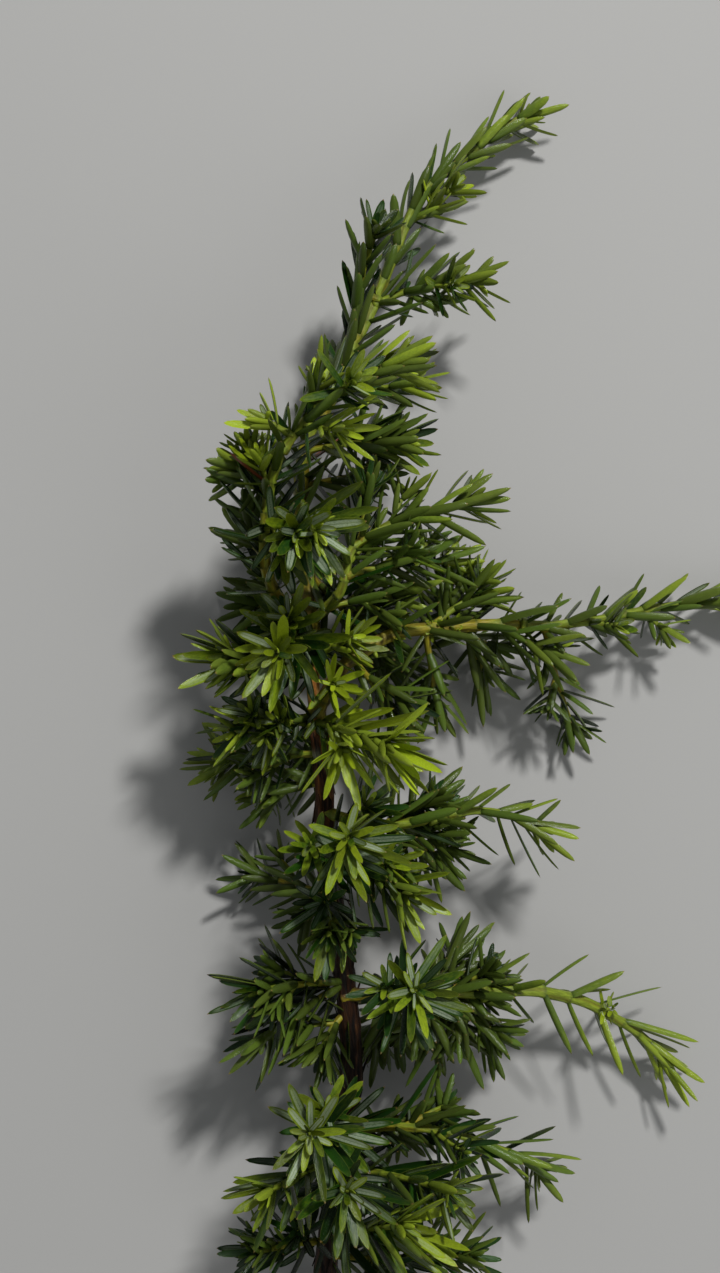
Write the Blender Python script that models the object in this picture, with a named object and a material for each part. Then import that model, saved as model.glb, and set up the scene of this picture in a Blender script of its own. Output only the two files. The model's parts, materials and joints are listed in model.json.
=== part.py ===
"""A cut juniper sprig, lying on a flat surface.

The tip points to +Y, the cut end to -Y, and the sprig lies with z = 0 under its
lowest needles. The woody stems are tubes. Each leafy shoot is one closed solid: a
thin twig at its foot that widens into a sleeve, which reaches the needle tips.
Sizes and places are in millimetres and degrees, and become metres in the meshes.
"""

import math

import bmesh
import bpy
import numpy as np

MM = 0.001

# Clear space
GAP = 0.35  # between neighbouring pieces
NECK_CLEARANCE = 0.5  # between a leafy sleeve and a bare stem that passes it
LEAF_CLEARANCE = 0.4  # between a leafy sleeve and the middle plane to its neighbour

# Needles and twigs
NEEDLE_REACH = 7.6  # how far the needle tips stand out from their twig
TIP_REACH = 5.5  # how far the last needles reach past the bud
TWIG_RADIUS = 0.65
BARE_NECK = 2.4  # bare twig at the foot of a side shoot
SHORTEST_NECK = 0.5
SLEEVE_RISE = 4.2  # the sleeve reaches its full width over this length
SHOULDER = 3  # the sleeve begins to narrow this far before the bud
TIP_SHARE = 0.1  # of the full reach is left at the very tip
LONGEST_STEP = 6.0  # between two rings of a sleeve

SHOOT_SIDES = 8
STEM_SIDES = 10
ROUTE_STEP = 0.5  # spacing of the points that a curved axis is read at
STEM_STEP = 4.0  # spacing of a stem's rings
NEIGHBOUR_RANGE = 17  # a sleeve looks this far for neighbours
FOOT_RANGE = 8  # a shoot has cleared its carrier within this length
TINY = 1e-6

# Colours: red-brown bark, yellow-green young bark, and the green of the needles
BARK_OLD = (0.16, 0.07, 0.035)
BARK_YOUNG = (0.36, 0.33, 0.09)
NEEDLES_OLD = (0.05, 0.12, 0.035)
NEEDLES_YOUNG = (0.19, 0.27, 0.04)

# Each stem: the points that its middle passes through, its radius at the foot and
# at the end, the stem that carries it, and its colour.
STEMS = {
    "main_stem": dict(
        route=[
            (-28, -116.5, 7.5), (-27.5, -94.5, 10), (-26, -81, 12), (-24, -68.5, 14),
            (-23, -56, 15.5), (-24, -42.5, 17), (-25.5, -30.5, 18), (-27.5, -19.5, 18.5),
            (-27.5, -9, 18.5), (-28.5, 0, 18.5), (-29.5, 8, 18.5), (-29.5, 14, 18.5),
        ],
        radii=(2.1, 1.5), carrier=None, colour=BARK_OLD,
    ),
    "leader_stem": dict(
        route=[
            (-29.5, 14, 18.5), (-30, 23, 19), (-31, 32.5, 19.5), (-31.5, 42, 20),
            (-30.5, 49.5, 20.5), (-26.5, 57.5, 20), (-23, 65.5, 19), (-19, 74, 17.5),
        ],
        radii=(1.4, 1.0), carrier=None, colour=BARK_YOUNG,
    ),
    "left_stem": dict(
        route=[
            (-30, 19, 19), (-34, 22, 24), (-36.5, 26.5, 29), (-37, 32.5, 33),
            (-36, 40.5, 37), (-34, 46.5, 39.5),
        ],
        radii=(1.0, 0.8), carrier="leader_stem", colour=BARK_YOUNG,
    ),
    "right_branch": dict(
        route=[
            (-29, 4, 18.5), (-25, 11, 22), (-21, 14.5, 21.5), (-15.5, 17.5, 20),
            (-8, 18.5, 18.5), (1, 19, 17), (6, 19, 16.2),
        ],
        radii=(1.2, 0.95), carrier="main_stem", colour=BARK_YOUNG,
    ),
    "middle_stem": dict(
        route=[(-27.5, -13, 18.5), (-22, -14, 23), (-16.5, -14.5, 25), (-10, -13.5, 25)],
        radii=(0.95, 0.85), carrier="main_stem", colour=BARK_YOUNG,
    ),
    "low_stem": dict(
        route=[
            (-24, -44.5, 17), (-18.5, -43.5, 20), (-11.5, -43, 21), (-3, -43.5, 20),
            (-1, -43.5, 19.6),
        ],
        radii=(1.1, 0.95), carrier="main_stem", colour=BARK_YOUNG,
    ),
}

# The leafy end of a stem goes on where the stem's own solid stops.
STEM_TIPS = {
    "leader_tip": dict(
        route=[
            (-19, 74, 17.5), (-15.7, 82.7, 14.5), (-12.3, 91.2, 12.5), (-7.7, 97.3, 10.5),
            (-1.5, 102.5, 8), (3.3, 106.9, 6.2), (8.6, 109.9, 5),
        ],
        carrier="leader_stem",
    ),
    "left_stem_tip": dict(
        route=[
            (-34, 46.5, 39.5), (-27.8, 53.5, 42), (-21.3, 58, 43), (-15.3, 60, 42),
        ],
        carrier="left_stem",
    ),
    "right_branch_tip": dict(
        route=[
            (6, 19, 16.2), (10.6, 18.8, 15), (20.4, 20, 11.5), (29.7, 21.9, 8.5),
            (38.8, 23.1, 6.3), (46.7, 22.9, 4.8),
        ],
        carrier="right_branch",
    ),
    "middle_stem_tip": dict(
        route=[
            (-10, -13.5, 25), (-2, -12.3, 23), (3.6, -13.3, 20), (9.4, -16.2, 17),
        ],
        carrier="middle_stem",
    ),
    "low_stem_tip": dict(
        route=[
            (-1, -43.5, 19.6), (7.3, -43.6, 17.3), (15.1, -45.5, 14.3), (21.6, -48.8, 11.3),
            (27.6, -53, 8.4), (31.2, -56.6, 6.8), (32.6, -58.6, 6.2),
        ],
        carrier="low_stem",
    ),
    "right_upper": dict(
        route=[
            (-30, 19.5, 19), (-25.5, 23.5, 24), (-23.9, 27.4, 26), (-22.9, 31.4, 26),
            (-18.9, 34.3, 25), (-14.4, 36.7, 24), (-7.7, 38.4, 22), (-2.8, 40.2, 20),
        ],
        carrier="leader_stem", bare=17,
    ),
    "base_outer": dict(
        route=[
            (-24, -68, 14), (-18.1, -66.7, 18), (-11.1, -66.4, 20), (-4.5, -67.7, 20),
            (2.8, -70.7, 18), (7.2, -73.2, 15.5), (10, -76.2, 13),
        ],
        carrier="main_stem", bare=13,
    ),
}

# Each side shoot: name, the stem that carries it, how far along that stem it
# leaves, the heading of its foot (0 is +X, 90 is +Y), how steeply it rises there,
# its length, and how much heading and rise change from foot to bud.
SIDE_SHOOTS = [
    ("top_left", "leader_stem", 53.9, 88, 2, 21.6, -21, 29),
    ("top_right", "leader_stem", 62.6, 27, 3, 19.2, -28, -9),
    ("upper_right", "leader_stem", 34.6, 11, 15, 17.1, -14, -13),
    ("upper_right_back", "leader_stem", 28.9, 8, -26, 16.6, 16, -17),
    ("leader_back", "leader_stem", 51.1, 155, -77, 10.1, -20, 4),
    ("middle_right_back", "leader_stem", 14.1, -45, -34, 24.5, -8, 7),
    ("left_back", "leader_stem", 8, 172, -63, 16.9, 9, 37),
    ("fork_front", "leader_stem", 2.9, -164, 78, 21.1, 19, -9),
    ("left_low", "left_stem", 18.8, 133, -39, 7.2, 14, 4),
    ("left_front", "left_stem", 23.7, 3, 59, 15.9, -15, -9),
    ("left_top", "left_stem", 30, 126, -13, 8, 20, -9),
    ("right_upper_mid", "right_upper", 12.3, 16, -22, 21.7, -16, -17),
    ("right_upper_low", "right_upper", 5.3, 13, -13, 13.6, -9, -6),
    ("branch_front", "main_stem", 120.2, -4, 70, 26.5, -16, -17),
    ("branch_upper", "right_branch", 27.1, 47, -22, 12.2, -28, 14),
    ("branch_low_inner", "right_branch", 12, -49, -28, 14.7, -10, 0),
    ("branch_low_middle", "right_branch", 26, -80, -28, 16.2, -2, 0),
    ("branch_low_outer", "right_branch", 33.3, -78, -67, 15.5, 25, 34),
    ("branch_low_tip", "right_branch_tip", 4.5, -76, -36, 23.1, 10, 12),
    ("left_upper", "main_stem", 128.3, 163, 42, 18.5, 7, -5),
    ("left_middle", "main_stem", 121.4, 185, 20, 15.7, 12, 5),
    ("left_middle_low", "main_stem", 115, -174, -23, 21.5, 4, -6),
    ("left_lower", "main_stem", 109.4, 180, -63, 17.9, 13, 33),
    ("left_bend", "main_stem", 90.1, 171, -61, 20.2, 1, 44),
    ("left_dense", "main_stem", 75.2, 172, 32, 18.6, 9, 16),
    ("left_dense_low", "main_stem", 70.3, -143, 31, 9.2, 33, -15),
    ("front_middle", "main_stem", 95.3, 63, 71, 29.7, 4, 1),
    ("front_hanging", "main_stem", 90.6, -87, 68, 13.4, -16, -1),
    ("front_young", "main_stem", 96.1, 0, 46, 20.2, -31, -2),
    ("middle_top", "middle_stem", 12.6, 33, -33, 12.8, -19, -8),
    ("middle_low", "middle_stem", 13.2, -36, -38, 14.9, -8, -6),
    ("low_top", "low_stem", 16.2, 53, -59, 13.2, -10, -3),
    ("low_top_outer", "low_stem", 17.5, 13, -35, 9.8, -14, 3),
    ("low_front", "low_stem", 10, 44, 82, 19.1, 24, -14),
    ("low_bottom_outer", "low_stem", 17.7, -40, -31, 15.7, -16, -2),
    ("low_bottom", "low_stem", 13.8, -66, -43, 16.1, -15, -2),
    ("low_bottom_inner", "low_stem", 8.6, -87, -62, 18.1, -32, 29),
    ("base_top", "base_outer", 6.6, 8, -52, 13.3, -12, 40),
    ("base_front_left", "main_stem", 49.2, 129, 73, 28.1, 7, -2),
    ("base_left", "main_stem", 44.9, 180, 65, 23.8, 9, -14),
    ("base_front", "main_stem", 40.5, 76, 75, 26.3, -13, 7),
    ("base_right", "main_stem", 41.9, 18, 54, 27.6, -24, -16),
    ("base_low", "main_stem", 30.3, 39, 64, 27.5, -10, -14),
    ("base_left_low", "main_stem", 28, 161, 46, 17.6, 22, -9),
    ("base_right_low", "main_stem", 25.3, 7, 26, 27.2, 0, -14),
    ("base_back", "main_stem", 19, -72, -34, 12, 5, 26),
]

# Shoots of this year's growth, which are yellow-green
YOUNG_SHOOTS = {
    "leader_tip", "left_stem_tip", "right_branch_tip", "middle_stem_tip", "low_stem_tip",
    "right_upper", "base_outer", "top_right", "left_top", "branch_front", "front_middle",
    "front_young", "base_front_left", "base_left", "base_right", "base_low",
}


def unit(vector):
    return vector / np.linalg.norm(vector)


def smooth_route(points):
    """Points about ROUTE_STEP apart on a smooth curve through the route's points."""
    points = np.array(points, float)
    ends = [2 * points[0] - points[1]], [2 * points[-1] - points[-2]]
    control = np.concatenate([ends[0], points, ends[1]])
    found = []
    for a, b, c, d in zip(control, control[1:], control[2:], control[3:]):
        steps = max(2, round(np.linalg.norm(c - b) / ROUTE_STEP))
        for t in np.arange(steps) / steps:
            cubic = (3 * b - a - 3 * c + d) * t + (2 * a - 5 * b + 4 * c - d)
            found.append(b + 0.5 * t * ((c - a) + cubic * t))
    found.append(points[-1])
    return np.array(found)


def grown_axis(foot, heading, rise, length, turn, lift):
    """Points along a shoot that grows from foot, turning evenly as it goes."""
    steps = max(4, round(length / ROUTE_STEP))
    axis = [np.array(foot, float)]
    for i in range(steps):
        t = (i + 0.5) / steps
        way = math.radians(heading + turn * t)
        up = math.radians(rise + lift * t)
        level = math.cos(up)
        step = np.array([level * math.cos(way), level * math.sin(way), math.sin(up)])
        axis.append(axis[-1] + step * length / steps)
    return np.array(axis)


def distances(axis):
    """The distance of each of the axis's points from its foot, along it."""
    steps = np.linalg.norm(np.diff(axis, axis=0), axis=1)
    return np.concatenate([[0], np.cumsum(steps)])


def at_distance(axis, distance):
    """The point this far along the axis, which goes on straight past its end."""
    along = distances(axis)
    if distance > along[-1]:
        return axis[-1] + unit(axis[-1] - axis[-2]) * (distance - along[-1])
    return np.array([np.interp(distance, along, axis[:, i]) for i in range(3)])


def rings_along(axis, stations):
    """Middle, sideways and upward direction of a ring at each station."""
    found = []
    side = None
    for station in stations:
        ahead = at_distance(axis, station + 0.5)
        behind = at_distance(axis, max(0, station - 0.5))
        forward = unit(ahead - behind)
        if side is None:
            level = np.cross(forward, (0, 0, 1))
            side = level if np.linalg.norm(level) > 0.2 else np.cross(forward, (0, 1, 0))
        side = unit(side - forward * side.dot(forward))
        found.append((at_distance(axis, station), side, np.cross(side, forward)))
    return found


def ring_directions(side, upward, count):
    """Directions of a ring's corners, two of them side by side at the bottom."""
    angles = (np.arange(count) + 0.5) * math.tau / count
    return np.outer(np.cos(angles), side) + np.outer(np.sin(angles), upward)


def sleeve_radius(station, bare, length):
    """Radius of a shoot: twig, then sleeve, then the narrow brush past the bud."""
    rise = min(1, max(0, (station - bare) / SLEEVE_RISE))
    rise = rise * (2 - rise)
    past = max(0, station - length + SHOULDER) / (TIP_REACH + SHOULDER)
    fall = math.sqrt(max(TIP_SHARE**2, 1 - past**1.6))
    return TWIG_RADIUS + (NEEDLE_REACH - TWIG_RADIUS) * rise * fall


def sleeve_stations(foot, bare, length):
    """Where a shoot's rings stand: close together where its radius changes."""
    widened = bare + SLEEVE_RISE
    shoulder = max(length - SHOULDER, widened + 1)
    count = max(1, math.ceil((shoulder - widened) / LONGEST_STEP))
    even = np.linspace(widened, shoulder, count + 1)
    brush = length + TIP_REACH * np.array([0.1, 0.6, 1])
    neck = np.linspace(foot, bare, math.ceil((bare - foot) / STEM_STEP) + 1)
    return np.array([*neck, bare + SLEEVE_RISE * 0.4, *even, *brush])


class Plan:
    """All the axes of the sprig, and what each piece has to stay clear of."""

    def __init__(self):
        self.axes = {}
        self.radii = {}
        self.carriers = {}
        self.bare = {}
        for name, stem in STEMS.items():
            self.axes[name] = smooth_route(stem["route"])
            self.radii[name] = stem["radii"]
            self.carriers[name] = stem["carrier"]
        for name, tip in STEM_TIPS.items():
            self.add_shoot(name, tip["carrier"], smooth_route(tip["route"]), tip.get("bare", 0))
        for name, carrier, distance, heading, rise, length, turn, lift in SIDE_SHOOTS:
            foot = at_distance(self.axes[carrier], distance)
            axis = grown_axis(foot, heading, rise, length, turn, lift)
            self.add_shoot(name, carrier, axis, BARE_NECK)

    def add_shoot(self, name, carrier, axis, bare):
        self.axes[name] = axis
        self.radii[name] = (TWIG_RADIUS, TWIG_RADIUS)
        self.carriers[name] = carrier
        self.bare[name] = bare

    def stem_radius(self, name, distance):
        length = distances(self.axes[name])[-1]
        return np.interp(distance / length, (0, 1), self.radii[name])

    def wood_near(self, name):
        """Points and radii of every bare stem and neck except this piece's own."""
        points = []
        radii = []
        for other, axis in self.axes.items():
            if other == name:
                continue
            along = distances(axis)
            last = self.bare.get(other, along[-1])
            for point, distance in zip(axis, along):
                if distance <= last:
                    points.append(point)
                    radii.append(self.stem_radius(other, distance))
        return np.array(points), np.array(radii)

    def leaves_near(self, name):
        """Points on the leafy axes of every shoot except this one."""
        found = []
        for other, bare in self.bare.items():
            axis = self.axes[other]
            if other != name:
                found.extend(axis[distances(axis) > bare])
        return np.array(found)

    def obstacles(self, name):
        """What a shoot keeps clear of: points, the share of the way, and clearance."""
        leaves = self.leaves_near(name)
        wood, wood_radii = self.wood_near(name)
        return (
            (leaves, 0.5, np.full(len(leaves), LEAF_CLEARANCE)),
            (wood, 1.0, wood_radii + NECK_CLEARANCE),
        )

    def foot_station(self, name):
        """How far along its axis a piece has to start to clear what carries it."""
        axis = self.axes[name]
        carrier = self.carriers[name]
        if carrier is None:
            return GAP if name == "leader_stem" else 0
        wood = self.axes[carrier]
        along = distances(wood)
        own = self.radii[name][0]
        for station in np.arange(0, FOOT_RANGE, 0.1):
            middle, side, upward = rings_along(axis, [station])[0]
            ring = middle + own * ring_directions(side, upward, SHOOT_SIDES)
            apart = np.linalg.norm(ring[:, None] - wood[None], axis=2)
            nearest = apart.argmin(axis=1)
            clear = apart.min(axis=1) - self.stem_radius(carrier, along[nearest])
            if clear.min() >= GAP:
                return station
        raise ValueError(f"{name} never leaves {carrier}")


def room_around(radius, middle, directions, obstacles):
    """Radius in each direction that stays on this side of every neighbour."""
    found = np.full(len(directions), radius)
    for points, share, clearance in obstacles:
        offset = points - middle
        apart = np.linalg.norm(offset, axis=1)
        close = (apart < NEIGHBOUR_RANGE) & (apart > TINY)
        facing = directions @ (offset[close] / apart[close, None]).T
        room = (apart[close] * share - clearance[close]) / np.maximum(facing, TINY)
        room = np.where(facing > TINY, room, radius)
        if room.size:
            found = np.minimum(found, room.min(axis=1))
    return found


def above_floor(radii, middle, directions):
    """Corners of a ring, with those that would be below z = 0 drawn in to it."""
    down = np.maximum(-directions[:, 2], TINY)
    ring = middle + np.minimum(radii, middle[2] / down)[:, None] * directions
    ring[:, 2] = np.where(ring[:, 2] < TINY, 0, ring[:, 2])
    return ring


def closed_tube(name, rings, material):
    """An object from rings of corners, closed at both ends."""
    mesh = bpy.data.meshes.new(name)
    shape = bmesh.new()
    loops = [[shape.verts.new(np.array(corner) * MM) for corner in ring] for ring in rings]
    for lower, upper in zip(loops, loops[1:]):
        for i in range(len(lower)):
            after = (i + 1) % len(lower)
            shape.faces.new((lower[i], lower[after], upper[after], upper[i]))
    shape.faces.new(loops[0][::-1])
    shape.faces.new(loops[-1])
    bmesh.ops.triangulate(shape, faces=shape.faces[:])
    bmesh.ops.recalc_face_normals(shape, faces=shape.faces[:])
    shape.to_mesh(mesh)
    shape.free()
    mesh.shade_smooth()
    mesh.materials.append(material)
    piece = bpy.data.objects.new(name, mesh)
    bpy.context.scene.collection.objects.link(piece)
    return piece


def plain_material(name, colour, roughness):
    material = bpy.data.materials.new(name)
    material.use_nodes = True
    shader = material.node_tree.nodes["Principled BSDF"]
    shader.inputs["Base Color"].default_value = (*colour, 1)
    shader.inputs["Roughness"].default_value = roughness
    shader.inputs["Metallic"].default_value = 0
    return material


def make_stem(plan, name):
    axis = plan.axes[name]
    length = distances(axis)[-1]
    foot = plan.foot_station(name)
    count = math.ceil((length - foot) / STEM_STEP)
    stations = np.linspace(foot, length, count + 1)
    rings = []
    for (middle, side, upward), station in zip(rings_along(axis, stations), stations):
        radius = plan.stem_radius(name, station)
        rings.append(middle + radius * ring_directions(side, upward, STEM_SIDES))
    material = plain_material(f"{name}_bark", STEMS[name]["colour"], 0.6)
    closed_tube(name, rings, material)


def make_shoot(plan, name, colour):
    axis = plan.axes[name]
    length = distances(axis)[-1]
    bare = plan.bare[name]
    foot = max(GAP, plan.foot_station(name)) if bare else GAP
    bare = max(bare, foot + SHORTEST_NECK)
    stations = sleeve_stations(foot, bare, length)
    obstacles = plan.obstacles(name)
    between = (stations[:-1] + stations[1:]) / 2
    middles = [at_distance(axis, station) for station in [foot, *between, stations[-1]]]
    rings = []
    for i, (middle, side, upward) in enumerate(rings_along(axis, stations)):
        directions = ring_directions(side, upward, SHOOT_SIDES)
        radius = sleeve_radius(stations[i], bare, length)
        near = (middles[i], middle, middles[i + 1])
        rooms = [room_around(radius, point, directions, obstacles) for point in near]
        radii = np.maximum(np.min(rooms, axis=0), min(radius, TWIG_RADIUS))
        rings.append(above_floor(radii, middle, directions))
    closed_tube(name, rings, plain_material(f"{name}_needles", colour, 0.45))


def build():
    for old in list(bpy.data.objects):
        bpy.data.objects.remove(old)
    plan = Plan()
    for name in STEMS:
        make_stem(plan, name)
    for name in plan.bare:
        make_shoot(plan, name, NEEDLES_YOUNG if name in YOUNG_SHOOTS else NEEDLES_OLD)


build()
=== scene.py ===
import json
import math

import bpy
import numpy as np
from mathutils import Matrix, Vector, kdtree, noise


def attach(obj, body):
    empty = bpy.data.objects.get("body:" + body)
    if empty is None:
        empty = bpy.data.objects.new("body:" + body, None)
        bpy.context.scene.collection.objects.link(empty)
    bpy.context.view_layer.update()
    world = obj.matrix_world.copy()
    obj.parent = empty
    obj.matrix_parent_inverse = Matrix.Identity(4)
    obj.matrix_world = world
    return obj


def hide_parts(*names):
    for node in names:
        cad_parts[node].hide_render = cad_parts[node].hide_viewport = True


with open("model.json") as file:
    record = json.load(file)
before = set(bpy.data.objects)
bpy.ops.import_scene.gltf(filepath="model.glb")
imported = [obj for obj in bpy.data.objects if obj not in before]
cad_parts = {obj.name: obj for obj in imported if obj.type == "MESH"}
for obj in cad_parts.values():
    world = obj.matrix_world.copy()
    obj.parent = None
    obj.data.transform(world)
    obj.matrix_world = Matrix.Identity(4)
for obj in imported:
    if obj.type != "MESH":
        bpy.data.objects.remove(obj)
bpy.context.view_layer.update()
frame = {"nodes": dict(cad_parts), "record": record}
print("frame loaded:", len(frame["nodes"]), "CAD nodes")

mm = 0.001  # every size and place below is in millimetres, and meshes are in metres
fullTurn = 2 * math.pi
whorlTurn = fullTurn / 6  # each whorl is turned by this from the one before
routeStep = 0.5  # spacing of the points of a route
tiny = 1e-6

# Woody stems: the points their middles pass through, radius at the foot and at the
# end, how young the bark is there (0 brown, 1 green), where needles begin, and the
# spacing of the nodes, or their places where the spacing is uneven.
stems = {
    "main_stem": {
        "route": [
            (-28, -116.5, 7.5), (-27.5, -94.5, 10), (-26, -81, 12), (-24, -68.5, 14),
            (-23, -56, 15.5), (-24, -42.5, 17), (-25.5, -30.5, 18), (-27.5, -19.5, 18.5),
            (-27.5, -9, 18.5), (-28.5, 0, 18.5), (-29.5, 8, 18.5), (-29.5, 14, 18.5),
        ],
        "radii": (2.1, 1.5), "youth": (0, 0.1), "leafyFrom": None, "nodes": 9,
    },
    "leader_stem": {
        "route": [
            (-29.5, 14, 18.5), (-30, 23, 19), (-31, 32.5, 19.5), (-31.5, 42, 20),
            (-30.5, 49.5, 20.5), (-26.5, 57.5, 20), (-23, 65.5, 19), (-19, 74, 17.5),
        ],
        "radii": (1.4, 1.0), "youth": (0.15, 0.6), "leafyFrom": 22, "nodes": 2.8,
    },
    "left_stem": {
        "route": [
            (-30, 19, 19), (-34, 22, 24), (-36.5, 26.5, 29), (-37, 32.5, 33),
            (-36, 40.5, 37), (-34, 46.5, 39.5),
        ],
        "radii": (1.0, 0.8), "youth": (0.15, 0.75), "leafyFrom": 11, "nodes": 2.5,
    },
    "right_branch": {
        "route": [
            (-29, 4, 18.5), (-25, 11, 22), (-21, 14.5, 21.5), (-15.5, 17.5, 20),
            (-8, 18.5, 18.5), (1, 19, 17), (6, 19, 16.2),
        ],
        "radii": (1.2, 0.95), "youth": (0.15, 0.42), "leafyFrom": 20,
        "whorlsAt": (3, 11.5, 20.5, 26.6, 30.6, 34.9, 39.2),
    },
    "middle_stem": {
        "route": [(-27.5, -13, 18.5), (-22, -14, 23), (-16.5, -14.5, 25), (-10, -13.5, 25)],
        "radii": (0.95, 0.85), "youth": (0.4, 0.8), "leafyFrom": 8, "nodes": 3.6,
    },
    "low_stem": {
        "route": [
            (-24, -44.5, 17), (-18.5, -43.5, 20), (-11.5, -43, 21), (-3, -43.5, 20),
            (-1, -43.5, 19.6),
        ],
        "radii": (1.1, 0.95), "youth": (0.1, 0.7), "leafyFrom": 6, "nodes": 3.6,
    },
}

# The leafy end of a stem goes on where the bare stem stops. Values that are left out
# come from usualTip and usualShoot.
stemTips = {
    "leader_tip": {
        "seed": 517, "broad": 1.15,
        "route": [
            (-19, 74, 17.5), (-15.7, 82.7, 14.5), (-12.3, 91.2, 12.5), (-7.7, 97.3, 10.5),
            (-1.5, 102.5, 8), (3.3, 106.9, 6.2), (8.6, 109.9, 5),
        ],
        "radii": (1.0, 0.6), "youth": (0.28, 0.92), "bloom": 0.25,
        "internodes": (3.9, 2.3), "opening": (27, 20), "twiglets": 0, "needle": 8.1,
    },
    "left_stem_tip": {
        "seed": 924, "broad": 1.15,
        "route": [
            (-34, 46.5, 39.5), (-27.8, 53.5, 42), (-21.3, 58, 43), (-15.3, 60, 42),
        ],
        "radii": (0.8, 0.5), "youth": (0.35, 0.9), "bloom": 0.3,
        "internodes": (3.0, 2.0), "opening": (42, 16), "twiglets": 1, "needle": 9.5,
    },
    "right_branch_tip": {
        "seed": 567, "broad": 1.15,
        "route": [
            (6, 19, 16.2), (10.6, 18.8, 15), (20.4, 20, 11.5), (29.7, 21.9, 8.5),
            (38.8, 23.1, 6.3), (46.7, 22.9, 4.8),
        ],
        "radii": (0.95, 0.55), "youth": (0.42, 0.98), "bloom": 0.3,
        "internodes": (4.0, 3.1), "opening": (36, 41), "twiglets": 0, "needle": 8.4,
    },
    "middle_stem_tip": {
        "seed": 879, "broad": 0.92,
        "route": [
            (-10, -13.5, 25), (-2, -12.3, 23), (3.6, -13.3, 20), (9.4, -16.2, 17),
        ],
        "radii": (0.8, 0.5), "youth": (0.5, 0.9), "bloom": 0.25, "opening": (51, 25),
        "twiglets": 0, "needle": 9.3,
        "whorlsAt": (1.2, 4.8, 9.0, 12.8, 16.0, 18.8),
    },
    "low_stem_tip": {
        "seed": 519, "broad": 0.92,
        "route": [
            (-1, -43.5, 19.6), (7.3, -43.6, 17.3), (15.1, -45.5, 14.3), (21.6, -48.8, 11.3),
            (27.6, -53, 8.4), (31.2, -56.6, 6.8), (32.6, -58.6, 6.2),
        ],
        "radii": (1.15, 0.75), "youth": (0.7, 1.1), "bloom": 0.25, "opening": (55, 16),
        "twiglets": 0, "needle": 9.4,
        "whorlsAt": (0.9, 5.6, 11.4, 16.6, 23.0, 28.8, 32.6, 35.6),
    },
    "right_upper": {
        "seed": 698,
        "route": [
            (-30, 19.5, 19), (-25.5, 23.5, 24), (-23.9, 27.4, 26), (-22.9, 31.4, 26),
            (-18.9, 34.3, 25), (-14.4, 36.7, 24), (-7.7, 38.4, 22), (-2.8, 40.2, 20),
        ],
        "radii": (0.9, 0.5), "youth": (0.3, 0.85), "bare": 5,
        "internodes": (3.2, 2.0), "opening": (66, 31), "twiglets": 2, "needle": 8.7,
    },
    "base_outer": {
        "seed": 661,
        "route": [
            (-24, -68, 14), (-18.1, -66.7, 18), (-11.1, -66.4, 20), (-4.5, -67.7, 20),
            (2.8, -70.7, 18), (7.2, -73.2, 15.5), (10, -76.2, 13),
        ],
        "radii": (0.95, 0.5), "youth": (0.15, 0.8), "bare": 4,
        "internodes": (3.2, 2.4), "opening": (51, 19), "twiglets": 1, "needle": 8.7,
    },
}

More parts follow.
